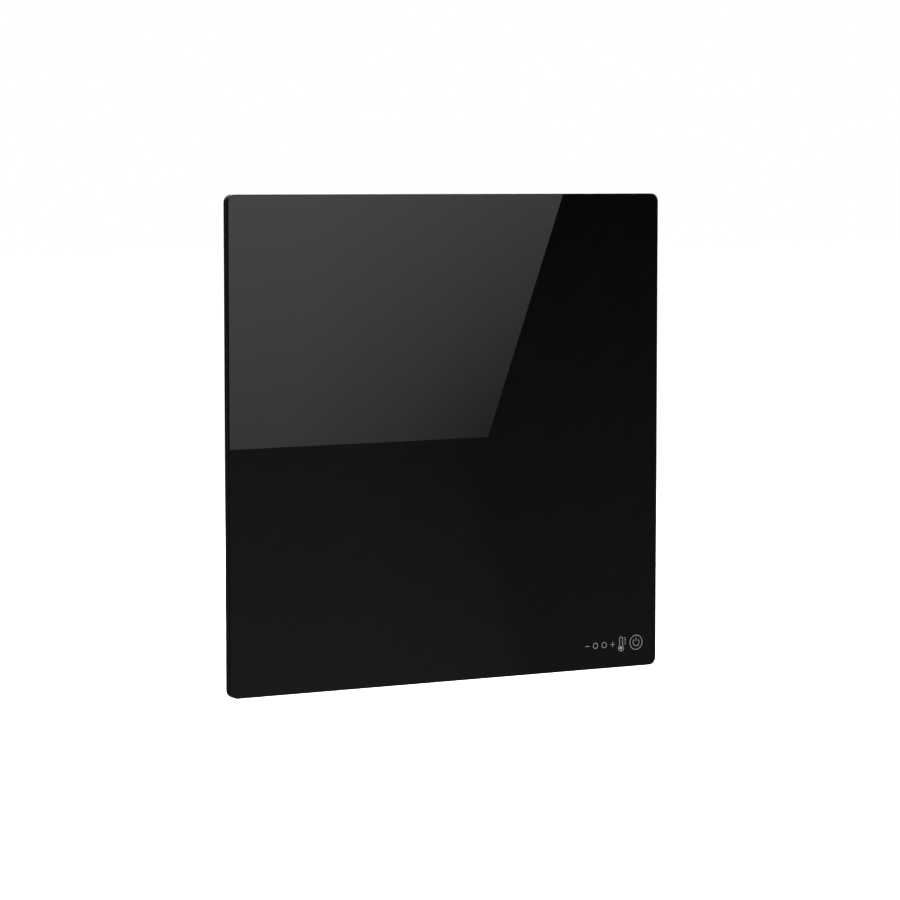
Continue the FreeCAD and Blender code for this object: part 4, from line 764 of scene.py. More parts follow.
class Shell:
    """A mesh gathered from rings of points."""

    def __init__(self) -> None:
        """Starts with nothing in it."""
        self.made = bmesh.new()

    def skin(self, rings: Sequence[Sequence[Point]], closed: bool = False) -> list[list[bmesh.types.BMVert]]:
        """Skins a row of rings and leaves its ends open.

        Args:
            rings: rings of the same number of points.
            closed: whether the last ring joins the first, as round a bore.

        Returns:
            The corners of every ring.
        """
        rows = [[self.made.verts.new(point) for point in ring] for ring in rings]
        count = len(rows[0])
        for low, high in zip(rows, rows[1:] + rows[:1] if closed else rows[1:]):
            for i in range(count):
                j = (i + 1) % count
                self.made.faces.new((low[i], low[j], high[j], high[i]))
        return rows

    def loft(self, rings: Sequence[Sequence[Point]], closed: bool = False) -> None:
        """Skins a row of rings and caps its ends.

        Args:
            rings: rings of the same number of points.
            closed: whether the last ring joins the first, as round a bore.
        """
        rows = self.skin(rings, closed)
        if not closed:
            self.made.faces.new(rows[0][::-1])
            self.made.faces.new(rows[-1])

    def fill(self, outlines: Sequence[Sequence[bmesh.types.BMVert]]) -> None:
        """Fills a flat face between its outline and the openings in it.

        Args:
            outlines: the closed rows of corners, the outer one among them.
        """
        edges = []
        for row in outlines:
            edges += [self.made.edges.get(pair) for pair in zip(row, [*row[1:], row[0]])]
        bmesh.ops.triangle_fill(self.made, use_beauty=True, edges=edges)

    def ribbon(self, line: Sequence[Flat], width: float, levels: Flat, closed: bool = False) -> None:
        """Lays a flat printed stroke along a line in x and z.

        Args:
            line: its middle line.
            width: its width.
            levels: the y of its outer face and of its inner face.
            closed: whether its end joins its start.
        """
        count, (low, high) = len(line), levels
        rings = []
        for i, (x, z) in enumerate(line):
            before = line[(i - 1) % count] if closed or i else line[i]
            after = line[(i + 1) % count] if closed or i < count - 1 else line[i]
            along = Vector((after[0] - before[0], after[1] - before[1])).normalized()
            dx, dz = -along.y * width / 2, along.x * width / 2
            left, right = (x - dx, z - dz), (x + dx, z + dz)
            rings.append([*stood((left, right), low), *stood((right, left), high)])
        self.loft(rings, closed)

    def finish(self, name: str, materials: Iterable[bpy.types.Material], sharp: float = 32.0) -> Object:
        """Turns the faces outwards and makes the object.

        Args:
            name: the object's name.
            materials: its materials in slot order.
            sharp: degrees above which an edge stays sharp.

        Returns:
            The object at the origin, unturned and unscaled.
        """
        bmesh.ops.recalc_face_normals(self.made, faces=self.made.faces)
        mesh = bpy.data.meshes.new(name)
        self.made.to_mesh(mesh)
        self.made.free()
        smooth(mesh, sharp)
        for material in materials:
            mesh.materials.append(material)
        return put(name, mesh)


class Axis(Enum):
    """Which way a repeated shape's own z axis points in the frame."""

    TO_WALL = (-math.pi / 2, 0.0, 0.0)
    TO_LEFT = (0.0, -math.pi / 2, 0.0)


SOCKET_KINDS = {
    int: "NodeSocketInt", float: "NodeSocketFloat", tuple: "NodeSocketVector", Object: "NodeSocketObject"
}


@dataclass(frozen=True)
class Repeat:
    """Base of the Geometry Nodes trees: named inputs in, one plain mesh out."""

    name: str
    finish: Finish

    def sizes(self) -> dict[str, object]:
        """Names the inputs of the tree, with their values."""
        raise NotImplementedError

    def wire(self, tree: Tree, taken: Sockets) -> Socket:
        """Wires the tree.

        Args:
            tree: the tree.
            taken: the sockets of its inputs by name.

        Returns:
            The geometry before it is realised.
        """
        raise NotImplementedError

    def make(self, spots: Sequence[Point]) -> Object:
        """Runs the tree on a set of spots and keeps the plain mesh.

        Args:
            spots: where each copy stands.

        Returns:
            The finished object at the origin.
        """
        group = bpy.data.node_groups.new(f"{self.name}_tree", "GeometryNodeTree")
        faces = group.interface
        faces.new_socket("Geometry", in_out="INPUT", socket_type="NodeSocketGeometry")
        values = {}
        for name, value in self.sizes().items():
            socket = faces.new_socket(name, in_out="INPUT", socket_type=SOCKET_KINDS[type(value)])
            values[socket.identifier] = value
        faces.new_socket("Geometry", in_out="OUTPUT", socket_type="NodeSocketGeometry")
        tree = Tree(group)
        copies = self.wire(tree, tree.add("NodeGroupInput").outputs)
        real = tree.add("GeometryNodeRealizeInstances", {0: copies}).outputs[0]
        feeds = {"Geometry": real, "Material": self.finish.make()}
        dressed = tree.add("GeometryNodeSetMaterial", feeds).outputs[0]
        tree.add("NodeGroupOutput", {0: dressed})
        seeds = bpy.data.meshes.new(f"{self.name}_spots")
        seeds.from_pydata(spots, [], [])
        holder = put(f"{self.name}_holder", seeds)
        modifier = holder.modifiers.new("repeat", "NODES")
        modifier.node_group = group
        for identifier, value in values.items():
            modifier[identifier] = value
        graph = bpy.context.evaluated_depsgraph_get()
        mesh = bpy.data.meshes.new_from_object(holder.evaluated_get(graph))
        holder.modifiers.remove(modifier)
        bpy.data.objects.remove(holder)
        mesh.name = self.name
        smooth(mesh)
        return put(self.name, mesh)


@dataclass(frozen=True)
class Copies(Repeat):
    """Copies of one modelled shape, each turned by a little of its own."""

    shape: Shell
    axis: Axis = Axis.TO_WALL
    swing: float = math.pi
    seed: int = 5

    def sizes(self) -> dict[str, object]:
        """Names the shape, how far a copy may turn, and the seed of the turns."""
        shape = self.shape.finish(f"{self.name}_shape", [])
        return {"Shape": shape, "Turn Range": self.swing, "Seed": self.seed}

    def wire(self, tree: Tree, taken: Sockets) -> Socket:
        """Turns the shape about its own axis, then to the axis it is driven along.

        Args:
            tree: the tree.
            taken: the sockets of its inputs by name.

        Returns:
            The turned copies.
        """
        shape = tree.add("GeometryNodeObjectInfo", {"Object": taken["Shape"]}).outputs["Geometry"]
        drawn = tree.add("FunctionNodeRandomValue", {"Seed": taken["Seed"]}, data_type="FLOAT")
        own = tree.join(0.0, 0.0, tree.times(drawn.outputs[1], taken["Turn Range"]))
        turns = {0: tree.turned(own), 1: tree.turned(self.axis.value)}
        whole = tree.add("FunctionNodeRotateRotation", turns, rotation_space="GLOBAL").outputs[0]
        return tree.stand(taken["Geometry"], shape, whole)

    def make(self, spots: Sequence[Point]) -> Object:
        """Makes the copies and takes the single shape out of the scene.

        Args:
            spots: where each copy stands.

        Returns:
            The finished object at the origin.
        """
        made = super().make(spots)
        bpy.data.objects.remove(bpy.data.objects[f"{self.name}_shape"])
        return made


@dataclass(frozen=True)
class BoreThread(Repeat):
    """The thread cut into a bore, as a helical rib that stands in from its wall."""

    radius: float
    depth: float
    pitch: float = 0.8 * MM
    rib: float = 0.22 * MM

    def sizes(self) -> dict[str, object]:
        """Names the thread's sizes.

        Returns:
            The value of each size by the name of its input.
        """
        turns = self.depth / self.pitch
        return {
            "Bore Radius": self.radius, "Thread Depth": self.depth, "Turns": turns, "Rib Radius": self.rib
        }

    def wire(self, tree: Tree, taken: Sockets) -> Socket:
        """Sweeps a four-sided rib along a helix and stands one in each bore.

        Args:
            tree: the tree.
            taken: the sockets of its inputs by name.

        Returns:
            The ribs.
        """
        across = taken["Bore Radius"]
        feeds = {
            "Resolution": 20, "Rotations": taken["Turns"], "Start Radius": across, "End Radius": across,
            "Height": taken["Thread Depth"],
        }
        helix = tree.add("GeometryNodeCurveSpiral", feeds).outputs[0]
        feeds = {"Resolution": 4, "Radius": taken["Rib Radius"]}
        section = tree.add("GeometryNodeCurvePrimitiveCircle", feeds).outputs[0]
        feeds = {0: helix, 1: section, "Fill Caps": True}
        rib = tree.add("GeometryNodeCurveToMesh", feeds).outputs[0]
        return tree.stand(taken["Geometry"], rib, tree.turned(Axis.TO_WALL.value))


@dataclass(frozen=True)
class GripRibs(Repeat):
    """A crown of ribs round a cap."""

    count: int
    radius: float
    rib: Point

    def sizes(self) -> dict[str, object]:
        """Names the crown's count and sizes."""
        return {"Count": self.count, "Crown Radius": self.radius, "Rib Size": self.rib}

    def wire(self, tree: Tree, taken: Sockets) -> Socket:
        """Stands a rib on every point of a circle, facing out from the middle.

        Args:
            tree: the tree.
            taken: the sockets of its inputs by name.

        Returns:
            The crown.
        """
        feeds = {"Vertices": taken["Count"], "Radius": taken["Crown Radius"]}
        crown = tree.add("GeometryNodeMeshCircle", feeds).outputs[0]
        rib = tree.add("GeometryNodeMeshCube", {"Size": taken["Rib Size"]}).outputs[0]
        out = tree.add("GeometryNodeInputPosition").outputs[0]
        feeds = {"Vector": out}
        face = tree.add("FunctionNodeAlignRotationToVector", feeds, axis="X", pivot_axis="Z").outputs[0]
        ribs = tree.add("GeometryNodeRealizeInstances", {0: tree.stand(crown, rib, face)}).outputs[0]
        return tree.stand(taken["Geometry"], ribs, tree.turned(Axis.TO_LEFT.value))


@dataclass
class GlassFront:
    """The toughened plate with its polished arris and the small print at its lower right."""

    inset: float = 0.05 * MM
    arris: float = 0.45 * MM
    blend: float = 0.1 * MM
    corner: float = 10 * MM
    ink: float = 0.02 * MM
    stroke: float = 0.62 * MM
    print_level: float = -270 * MM

    def build(self) -> None:
        """Builds the plate and its print."""
        low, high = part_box("front_glass")
        self.front = low.y + self.inset
        self.plate(high.y)
        self.print_marks()

    def plate(self, rear: float) -> None:
        """Lofts the plate from its rear face, over both arrises and their soft ends, to its front face.

        Args:
            rear: the y of its rear face.
        """
        soft, cut = self.blend, self.arris
        side = [(0.0, cut + soft), (soft * 0.2, cut), (soft * 0.7, cut - soft * 0.7)]
        side += [(cut - soft * 0.7, soft * 0.7), (cut, soft * 0.2), (cut + soft, 0.0), (cut + 4 * soft, 0.0)]
        section = [(d, rear - y) for d, y in reversed(side)] + [(d, self.front + y) for d, y in side]
        shell = Shell()
        shell.loft(stacked(*flat_box("front_glass"), self.corner, section))
        glass = shell.finish("glass_plate", [BLACK_GLASS.make(), GROUND_EDGE.make()], 60.0)
        for face in glass.data.polygons:
            face.material_index = 0 if abs(face.normal.y) > 0.5 else 1
        dress(glass, "panel", ["front_glass"])

    def print_marks(self) -> None:
        """Prints a plain level row, a small thermometer and a ring with a standby sign.

        Its numbers are millimetres from the pane's middle and from the print's own level.
        """
        shell, levels = Shell(), (self.front - self.ink, self.front + self.ink)

        def placed(line: Sequence[Flat]) -> list[Flat]:
            """Moves a line of the print to its place on the pane."""
            return [(x * MM, self.print_level + z * MM) for x, z in line]

        def draw(line: Sequence[Flat], closed: bool = False, share: float = 1.0) -> None:
            """Lays one stroke of the print."""
            shell.ribbon(placed(line), self.stroke * share, levels, closed)

        for x in (209.5, 222.5):
            draw(circle((x, 0.0), 3.4, ROUND_STEPS), True)
        for x in (197.5, 235.0):
            draw([(x - 3.0, 0.0), (x + 3.0, 0.0)])
        draw([(235.0, -3.0), (235.0, 3.0)])
        bulb = (247.5, -5.2)
        draw(arc((bulb[0], 6.8), 2.2, 0.0, 180.0, 10) + arc(bulb, 3.9, 124.0, 416.0, 22), True)
        shell.loft([stood(placed(circle(bulb, 1.9, ROUND_STEPS)), y) for y in levels])
        for z in (-0.5, 2.1, 4.7, 7.3):
            draw([(251.6, z), (255.0, z)], share=0.8)
        middle = (270.0, 0.5)
        draw(circle(middle, 9.1, 2 * ROUND_STEPS), True)
        draw(arc(middle, 4.5, 125.0, 415.0, 30))
        draw([(middle[0], 1.9), (middle[0], 6.5)])
        dress(shell.finish("panel_marks", [PRINT_INK.make()]), "panel")


@dataclass
class RearPan:
    """The pressed pan, with the tight roll and the reach that the photograph shows at its edge."""

    node: str = "rear_tray"
    sheet: float = 0.8 * MM
    roll: float = 0.8 * MM
    edge_gap: float = 0.05 * MM
    corner: float = 9.9 * MM
    rim: float = 0.6 * MM
    flange: float = 14 * MM
    flange_corner: float = 4 * MM
    hold: float = 0.4 * MM
    swage_half: Flat = (150 * MM, 17 * MM)
    swage_corner: float = 16.6 * MM
    swage_levels: tuple[float, ...] = (-40 * MM, 60 * MM, 160 * MM)
    swage_press: tuple[Flat, ...] = (
        (-0.5, 0.0), (0.0, 0.0), (0.35, 0.14), (1.15, 1.36), (1.5, 1.5), (2.0, 1.5)
    )
    bolt: float = 2.1 * MM
    grommet: float = 7.3 * MM
    tub_screw_head: float = 3.5 * MM

    def build(self) -> None:
        """Skins the sheet round its rim, presses the swages and opens the holes."""
        low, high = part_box(self.node)
        _, half = flat_box("front_glass", self.edge_gap)
        rear = high.y - self.swage_press[-1][1] * MM
        section = self.section(rear, low.y)
        shell = Shell()
        rows = shell.skin(stacked((0.0, 0.0), half, self.corner, section, self.flange_corner))
        outside, inside = [rows[0]], [rows[-1]]
        for level in self.swage_levels:
            outside.append(self.swage(shell, level, rear, 0.0))
            inside.append(self.swage(shell, level, rear - self.sheet, self.sheet * math.tan(math.pi / 8)))
        for centre, radius in self.holes():
            line = circle(centre, radius, ROUND_STEPS)
            wall = shell.skin([stood(line, y) for y in (rear, rear - self.sheet)])
            outside.append(wall[0])
            inside.append(wall[-1])
        shell.fill(outside)
        shell.fill(inside)
        pan = shell.finish("pressed_pan", [SLOT_FINISHES["coated_steel"].make()], 60.0)
        dress(pan, "panel", [self.node])

    def section(self, rear: float, front: float) -> list[Flat]:
        """Follows the sheet's section from the rear face, round the rim and back inside.

        Args:
            rear: the y of its flat rear face.
            front: the y of its rim's front face.

        Returns:
            How far inwards and at which y each ring lies.
        """
        roll, rim, hold, sheet, flange = self.roll, self.rim, self.hold, self.sheet, self.flange
        turned = arc((roll, rear - roll), roll, 90.0, 180.0, 6)
        line = [(roll + hold, rear), *turned, (0.0, rear - roll - hold), (0.0, front + rim + hold)]
        line += [(0.0, front + rim), (rim, front), (rim + hold, front), (flange, front)]
        line += [(flange, front + sheet), (sheet, front + sheet), (sheet, rear - sheet)]
        return [*line, (sheet + hold, rear - sheet)]

    def swage(self, shell: Shell, level: float, base: float, inset: float) -> list[bmesh.types.BMVert]:
        """Presses one swage out of a face of the sheet.

        Args:
            shell: the pan's shell.
            level: the z of the swage's middle.
            base: the y of the face.
            inset: how far this face's outline lies inside the outer one.

        Returns:
            The outline that the face is filled up to.
        """
        section = [(inset + inwards * MM, base + rise * MM) for inwards, rise in self.swage_press]
        rows = shell.skin(stacked((0.0, level), self.swage_half, self.swage_corner, section))
        shell.made.faces.new(rows[-1])
        return rows[0]

    def holes(self) -> list[tuple[Flat, float]]:
        """Takes the place of each hole from the piece that goes through it.

        Returns:
            The middle and the radius of each hole.
        """
        places = BOLT_PLACES + box_corners("base_screws", self.tub_screw_head)
        found = [(place, self.bolt) for place in places]
        for node, radius in (("lead_grommet", self.grommet), ("earth_stud", self.bolt)):
            found.append((flat_box(node)[0], radius))
        return found


@dataclass
class CoverScrews:
    """The four screws that hold the lid, each with a cross recess."""

    node: str = "cover_screws"
    head: float = 2.8 * MM
    height: float = 1.6 * MM
    shank: float = 1.5 * MM
    steps: int = 48

    def build(self) -> None:
        """Stands a screw on each of the node's four places."""
        low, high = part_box(self.node)
        seat = high.y - self.height
        copies = Copies("lid_screws", SLOT_FINISHES["black_screws"], self.screw(seat - low.y))
        screws = copies.make(stood(box_corners(self.node, self.head), seat))
        dress(screws, "panel", [self.node])

    def screw(self, length: float) -> Shell:
        """Models a screw, head up, with its seat at z = 0, in shares of its own sizes.

        Args:
            length: the shank's length.

        Returns:
            The screw as one closed shell.
        """
        head, height, shank = self.head, self.height, self.shank
        profile = [(shank * 0.55, -length), (shank, -length + shank * 0.5), (shank, 0.0), (head, 0.0)]
        profile += [(head, height * 0.35), (head * 0.95, height * 0.62)]
        profile += [(head * 0.82, height * 0.86), (head * 0.66, height)]
        turns = [2 * math.pi * i / self.steps for i in range(self.steps)]
        rings = [[(r * math.cos(t), r * math.sin(t), h) for t in turns] for r, h in profile]
        for share, h in ((1.0, height), (0.86, height * 0.96), (0.45, height * 0.35)):
            cross = [(self.cross_reach(t) * share, t) for t in turns]
            rings.append([(r * math.cos(t), r * math.sin(t), h) for r, t in cross])
        shell = Shell()
        shell.loft(rings)
        return shell

    def cross_reach(self, turn: float) -> float:
        """Gives how far the cross recess reaches from the middle.

        Args:
            turn: the angle about the screw.

        Returns:
            The radius of the recess there.
        """
        slot, reach = self.head * 0.17, self.head * 0.58
        near = (turn + math.pi / 4) % (math.pi / 2) - math.pi / 4
        side = slot / max(abs(math.sin(near)), 1e-6)
        return min(reach, max(side, slot * 1.5))


@dataclass
class Standoffs:
    """Threads in the four stand-offs' wall bores."""

    bore: float = 2.5 * MM
    depth: float = 13.6 * MM
    start: float = 0.6 * MM

    def build(self) -> None:
        """Cuts a visible thread into each bore."""
        thread = BoreThread("bore_threads", SLOT_FINISHES["turned_aluminium"], self.bore, self.depth)
        threads = thread.make(stood(BOLT_PLACES, -self.start - self.depth))
        dress(threads, "panel")


@dataclass
class CableGland:
    """The ribbed dome nut of the cable gland.

    Straight, rib_share and rib_middle are shares of its length, and dome_end is in degrees.
    """

    node: str = "cable_gland_cap"
    mouth: float = 4.6 * MM
    bore: float = 7.3 * MM
    dome: float = 3.4 * MM
    dome_end: float = 78.0
    dome_steps: int = 8
    chamfer: float = 0.4 * MM
    skin: float = 0.5 * MM
    straight: float = 0.62
    steps: int = 64
    ribs: int = 30
    rib_width: float = 0.8 * MM
    rib_depth: float = 0.7 * MM
    rib_share: float = 0.56
    rib_middle: float = 0.32

    def build(self) -> None:
        """Turns the cap with its crown and adds the ribs."""
        low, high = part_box(self.node)
        y, z = (low.y + high.y) / 2, (low.z + high.z) / 2
        radius, length = (high.y - low.y) / 2, high.x - low.x
        body, cut, dome = radius - self.skin, self.chamfer, self.dome
        profile = [(self.bore, 0.0), (body - cut, 0.0), (body, cut), (body, length * self.straight)]
        profile += arc((body - dome, length - dome - cut), dome, 0.0, self.dome_end, self.dome_steps)
        profile += [(self.mouth + self.skin, length), (self.mouth, length - self.skin)]
        profile += [(self.mouth, length - dome), (self.bore, length - dome - self.skin)]
        shell = Shell()
        rounds = [[(a, b, h) for a, b in circle((0.0, 0.0), r, self.steps)] for r, h in profile]
        shell.loft(rounds, True)
        cap = shell.finish("gland_dome_nut", [SLOT_FINISHES["gland_nylon"].make()])
        cap.data.transform(Matrix.Translation((high.x, y, z)) @ Matrix.Rotation(-math.pi / 2, 4, "Y"))
        dress(cap, "panel", [self.node])
        rib = (self.rib_depth, self.rib_width, length * self.rib_share)
        crown = radius - self.rib_depth / 2
        ribs = GripRibs("gland_grip_ribs", SLOT_FINISHES["gland_nylon"], self.ribs, crown, rib)
        dress(ribs.make([(high.x - length * self.rib_middle, y, z)]), "panel")


@dataclass
class Controls:
    """The bar and the ring printed on the rocker's two slopes."""

    node: str = "power_rocker"
    ink: float = 0.02 * MM
    stroke: float = 0.6 * MM
    bar: float = 1.7 * MM
    ring: float = 1.45 * MM
    step: float = 4.6 * MM
    reach: float = 1 * MM

    def build(self) -> None:
        """Prints the bar on the upper slope, which is pressed for on, and the ring on the lower one."""
        levels = (-self.ink, self.ink)
        bar, ring = Shell(), Shell()
        bar.ribbon([(0.0, -self.bar), (0.0, self.bar)], self.stroke, levels)
        ring.ribbon(circle((0.0, 0.0), self.ring, ROUND_STEPS), self.stroke, levels, True)
        for name, shell, shift in (("on_bar", bar, self.step), ("off_ring", ring, -self.step)):
            sign = shell.finish(name, [WHITE_INK.make()])
            sign.data.transform(self.slope(shift))
            dress(sign, self.node)

    def slope(self, shift: float) -> Matrix:
        """Finds the place of a sign that faces out of a slope.

        Args:
            shift: how far above the rocker's middle the sign is.

        Returns:
            The matrix from the sign's x, z and outward -y to the slope.
        """
        low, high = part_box(self.node)
        mesh = frame["nodes"][self.node].data
        corners, faces = [vert.co for vert in mesh.vertices], [face.vertices for face in mesh.polygons]
        start = Vector((high.x + self.reach, (low.y + high.y) / 2, (low.z + high.z) / 2 + shift))
        rocker = BVHTree.FromPolygons(corners, faces)
        place, out, _, _ = rocker.ray_cast(start, Vector((-1.0, 0.0, 0.0)))
        across = Vector((0.0, 1.0, 0.0))
        turn = Matrix((across, -out, out.cross(across))).transposed()
        return Matrix.Translation(place) @ turn.to_4x4()


@dataclass
class FrameFinishes:
    """Procedural finishes on every node that is shown as it stands in the frame."""

    record: dict

    def build(self) -> None:
        """Gives each node the finish of its record slot."""
        for part in self.record["subparts"]:
            materials = frame["nodes"][part["node"]].data.materials
            finish = SLOT_FINISHES[part["material_slot"]].make()
            for i in range(len(materials)):
                materials[i] = finish
            if not materials:
                materials.append(finish)
            LOG.info("%s: %s", part["node"], finish.name)


class Rays(Enum):
    """Which rays see a stage surface."""

    FLOOR = ("camera", "diffuse", "transmission", "shadow")
    MIRRORED = ("glossy",)


def ramp(value: float, low: float, high: float) -> float:
    """Rises smoothly from 0 at the low value to 1 at the high one."""
    share = min(max((value - low) / (high - low), 0.0), 1.0)
    return share * share * (3 - 2 * share)


@dataclass
class PhotoCamera:
    """The photograph's viewpoint."""

    place: Point = (-1.9937, -3.6265, 0.3195)
    yaw: float = 29.1
    pitch: float = -4.6444
    lens: float = 134.0
    sensor: float = 36.0

    def build(self) -> None:
        """Creates the camera and makes it the scene's own."""
        made = bpy.data.cameras.new("photo_camera")
        made.lens, made.sensor_width = self.lens, self.sensor
        made.clip_start, made.clip_end = 0.05, 60.0
        camera = put("photo_camera", made)
        camera.location = self.place
        camera.rotation_euler = (math.radians(90 + self.pitch), 0.0, math.radians(-self.yaw))
        bpy.context.scene.camera = camera

    def mirrored(self, pixel: Flat, glass: float, wall: float) -> Point:
        """Finds what a pixel of the pane sees in it.

        Args:
            pixel: the pixel, from the picture's top left.
            glass: the y of the pane.
            wall: the y of the upright plane that is reflected.

        Returns:
            The reflected point.
        """
        reach = self.lens / self.sensor * IMAGE_SIZE
        yaw, pitch = math.radians(self.yaw), math.radians(self.pitch)
        right = Vector((math.cos(yaw), -math.sin(yaw), 0.0))
        ahead = Vector((math.sin(yaw) * math.cos(pitch), math.cos(yaw) * math.cos(pitch), math.sin(pitch)))
        u, v = (pixel[0] - IMAGE_SIZE / 2) / reach, (IMAGE_SIZE / 2 - pixel[1]) / reach
        ray = ahead + right * u + right.cross(ahead) * v
        travelled = (glass - self.place[1] + glass - wall) / ray.y
        return self.place[0] + ray.x * travelled, wall, self.place[2] + ray.z * travelled


@dataclass(frozen=True)
class Lamp:
    """A soft square lamp, and whether shiny surfaces show it."""

    name: str
    place: Point
    size: float
    power: float
    mirrored: bool = False
    aim: Point = (0.0, 0.0, 0.0)

    def build(self) -> None:
        """Hangs the lamp and turns it to its aim."""
        light = bpy.data.lights.new(self.name, "AREA")
        light.shape, light.size, light.energy = "SQUARE", self.size, self.power
        made = put(self.name, light)
        made.location = self.place
        made.rotation_euler = (Vector(self.aim) - Vector(self.place)).to_track_quat("-Z", "Y").to_euler()
        made.visible_glossy = self.mirrored


@dataclass
class Studio:
    """Pale floor, soft lamps, and the dark cards and windows that the glass reflects.

    The front of the dome glows at a level, falls off by its height, and keeps a least glow. Behind, each
    rise adds a gain between two heights, around a dark flag. Edges and bearings are in degrees. A band is
    a share of a card's width, with its glow at the top and at the bottom there.
    """

    camera: PhotoCamera
    glass: float = -0.0462
    wall: float = -2.6
    floor_level: float = -0.46
    floor_reach: float = 30.0
    floor_glow: float = 0.93
    card_rows: int = 12
    world_light: float = 0.25
    lamps: tuple[Lamp, ...] = (
        Lamp("key_lamp", (1.2, -3.6, 2.6), 2.2, 120.0),
        Lamp("fill_lamp", (-2.6, -2.6, 1.2), 2.4, 15.0),
        Lamp("rear_key", (1.6, 2.5, 2.2), 1.3, 115.0, True),
        Lamp("rear_fill", (0.2, 3.2, 1.2), 2.2, 90.0),
        Lamp("top_lamp", (0.7, 0.7, 2.8), 0.9, 20.0, True),
        Lamp("rear_low", (0.5, 1.7, -0.1), 0.5, 4.0, True, (0.1, 0.0, -0.24)),
    )
    dome_radius: float = 4.5
    dome_sides: int = 120
    dome_front: Point = (0.058, 0.45, 0.02)
    dome_top: float = 0.6
    dome_overhead: Flat = (0.35, 0.7)
    dome_behind: float = 0.25
    dome_rises: tuple[Point, ...] = ((0.3, -0.5, 0.1), (0.45, 0.1, 0.8))
    dome_right: Flat = (118.0, 140.0)
    dome_left: Flat = (86.0, 108.0)
    flag_way: Point = (-0.49, 0.87, -0.08)
    flag_glow: float = 0.025
    flag_edge: Flat = (22.0, 58.0)
    window_bands: tuple[Point, ...] = (
        (0.0, 1.54, 0.9), (0.4, 1.52, 0.85), (0.75, 1.29, 0.59), (1.0, 1.16, 0.33)
    )
    window_pixels: tuple[Flat, ...] = ((150, 120), (586, 120), (488, 437), (150, 454))
    front_window: tuple[Flat, ...] = ((-0.62, 1.6), (0.42, 1.6), (0.1, 0.02), (-0.62, -0.06))
    corner_window: tuple[Flat, ...] = ((2.0, 1.6), (2.75, 1.6), (2.35, -1.3), (2.0, -1.24))
    dim_bands: tuple[Point, ...] = (
        (0.0, 0.15, 0.26), (0.6, 0.145, 0.245), (0.93, 0.115, 0.215), (1.0, 0.09, 0.16)
    )
    dim_pixels: tuple[Flat, ...] = ((150, 430), (463, 430), (550, 720), (150, 720))
    dim_gap: float = 0.04

    def build(self) -> None:
        """Sets up the world, the floor, the lamps and the cards."""
        bpy.context.scene.view_settings.view_transform = "Standard"
        self.world()
        self.floor()
        for lamp in self.lamps:
            lamp.build()
        self.dome()
        self.cards()

    def world(self) -> None:
        """White where it is seen or mirrored, and a softer grey where it lights."""
        world = bpy.context.scene.world = bpy.data.worlds.new("studio")
        tree = Tree.emptied(world)
        path = tree.add("ShaderNodeLightPath").outputs
        seen = tree.math("MAXIMUM", path["Is Camera Ray"], path["Is Glossy Ray"])
        seen = tree.math("MAXIMUM", seen, path["Is Transmission Ray"])
        strength = tree.math("ADD", self.world_light, tree.times(seen, 1.0 - self.world_light))
        back = tree.add("ShaderNodeBackground", {"Color": WHITE, "Strength": strength})
        tree.add("ShaderNodeOutputWorld", {0: back.outputs[0]})

    def floor(self) -> None:
        """A wide pale floor that stays white to the camera and keeps a trace of shadow."""
        made = bpy.data.materials.new("pale_floor")
        tree = Tree.emptied(made)
        tone = tree.mix(tree.noise(tree.place(), 3.0, 3.0), (0.86, 0.86, 0.86), (0.9, 0.9, 0.9))
        matt = tree.add("ShaderNodeBsdfDiffuse", {"Color": tone}).outputs[0]
        glow = tree.add("ShaderNodeEmission", {"Color": WHITE, "Strength": self.floor_glow}).outputs[0]
        both = tree.add("ShaderNodeAddShader", {0: matt, 1: glow}).outputs[0]
        seen = tree.add("ShaderNodeLightPath").outputs["Is Camera Ray"]
        mixed = tree.add("ShaderNodeMixShader", {0: seen, 1: matt, 2: both})
        tree.add("ShaderNodeOutputMaterial", {0: mixed.outputs[0]})
        shell = bmesh.new()
        bmesh.ops.create_grid(shell, x_segments=1, y_segments=1, size=self.floor_reach)
        bmesh.ops.translate(shell, vec=(0.0, 0.0, self.floor_level), verts=shell.verts)
        self.card("studio_floor", shell, made, Rays.FLOOR)

    def card(self, name: str, shell: bmesh.types.BMesh, material: bpy.types.Material, rays: Rays) -> None:
        """Adds a stage surface.

        Args:
            name: its name.
            shell: its mesh.
            material: its material.
            rays: which rays see it.
        """
        mesh = bpy.data.meshes.new(name)
        shell.to_mesh(mesh)
        shell.free()
        mesh.materials.append(material)
        made = put(name, mesh)
        for ray in ("camera", "diffuse", "glossy", "transmission", "volume_scatter", "shadow"):
            setattr(made, f"visible_{ray}", ray in rays.value)
        LOG.info("stage %s", name)

    def glow(self, name: str) -> bpy.types.Material:
        """Makes the material of a card that glows as its own attribute says.

        Args:
            name: the material's name.

        Returns:
            The material.
        """
        made = bpy.data.materials.new(name)
        tree = Tree.emptied(made)
        strength = tree.add("ShaderNodeAttribute", attribute_name="glow").outputs["Fac"]
        light = tree.add("ShaderNodeEmission", {"Color": WHITE, "Strength": strength})
        tree.add("ShaderNodeOutputMaterial", {0: light.outputs[0]})
        return made

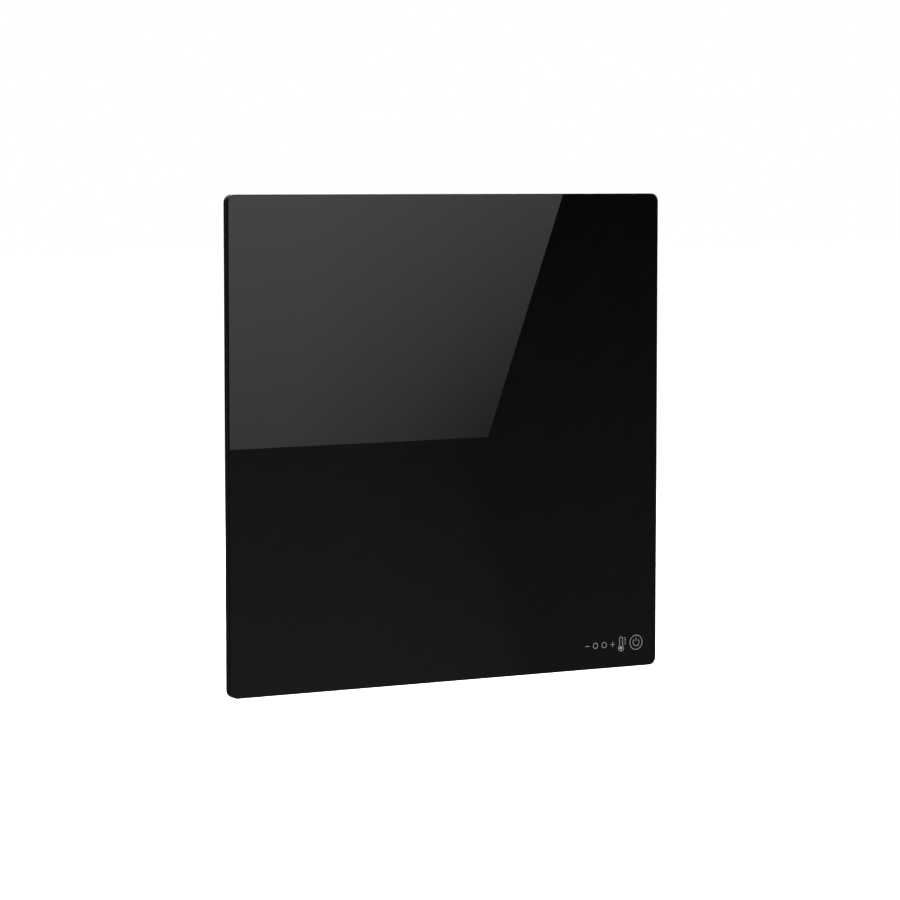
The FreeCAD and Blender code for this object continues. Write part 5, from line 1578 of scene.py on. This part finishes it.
    def sheet(self, name: str, corners: Sequence[Point], bands: Sequence[Point]) -> None:
        """Adds a four-cornered card whose glow falls off across and down.

        Args:
            name: its name.
            corners: top left, top right, bottom right, bottom left.
            bands: share across the card, glow at its top and glow at its bottom there.
        """
        shell = bmesh.new()
        layer = shell.verts.layers.float.new("glow")
        top_left, top_right, low_right, low_left = (Vector(corner) for corner in corners)
        grid = []
        for across, top, low in bands:
            high_end, low_end = top_left.lerp(top_right, across), low_left.lerp(low_right, across)
            column = []
            for step in range(self.card_rows + 1):
                down = step / self.card_rows
                vert = shell.verts.new(high_end.lerp(low_end, down))
                vert[layer] = top + (low - top) * down
                column.append(vert)
            grid.append(column)
        for left, right in zip(grid, grid[1:]):
            for i in range(self.card_rows):
                shell.faces.new((left[i], right[i], right[i + 1], left[i + 1]))
        self.card(name, shell, self.glow(f"{name}_glow"), Rays.MIRRORED)

    def dome(self) -> None:
        """A surround that is dark in front, bright overhead and behind, and dark again at the left rear."""
        shell, sides = bmesh.new(), self.dome_sides
        bmesh.ops.create_uvsphere(shell, u_segments=sides, v_segments=sides // 2, radius=self.dome_radius)
        layer = shell.verts.layers.float.new("glow")
        level, fall, least = self.dome_front
        flag, dark = Vector(self.flag_way).normalized(), self.flag_glow
        near, far = (math.radians(edge) for edge in self.flag_edge)
        for vert in shell.verts:
            way = vert.co.normalized()
            rise = way.z
            overhead = ramp(rise, *self.dome_overhead)
            front = max(level - fall * rise, least) * (1 - overhead) + self.dome_top * overhead
            behind = sum((gain * ramp(rise, *reach) for gain, *reach in self.dome_rises), self.dome_behind)
            behind = dark + (behind - dark) * ramp(way.angle(flag), near, far)
            bearing = math.degrees(math.atan2(way.x, -way.y))
            share = ramp(abs(bearing), *(self.dome_right if bearing > 0 else self.dome_left))
            vert[layer] = front + (behind - front) * share
        self.card("surround", shell, self.glow("surround_glow"), Rays.MIRRORED)

    def cards(self) -> None:
        """The windows and the dim wall that the pane shows from the camera and from other sides."""
        seen = [self.camera.mirrored(pixel, self.glass, self.wall) for pixel in self.window_pixels]
        corner = stood(self.corner_window, self.wall)
        windows = {
            "window_card": seen,
            "left_window_card": [(-x, y, z) for x, y, z in seen],
            "front_window_card": stood(self.front_window, self.wall),
            "right_corner_card": corner,
            "left_corner_card": [(-x, y, z) for x, y, z in corner],
        }
        for name, corners in windows.items():
            self.sheet(name, corners, self.window_bands)
        dim = [self.camera.mirrored(pixel, self.glass, self.wall - self.dim_gap) for pixel in self.dim_pixels]
        self.sheet("dim_wall_card", dim, self.dim_bands)


def main() -> None:
    """Dresses the frame and sets up the studio."""
    logging.basicConfig(level=logging.INFO, format="%(name)s %(message)s")
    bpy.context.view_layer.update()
    camera = PhotoCamera()
    parts = [camera, FrameFinishes(frame["record"]), GlassFront(), RearPan(), CoverScrews(), Standoffs()]
    parts += [CableGland(), Controls(), Studio(camera)]
    for part in parts:
        part.build()
        LOG.info("built %s", type(part).__name__)


if __name__ == "__main__":
    main()
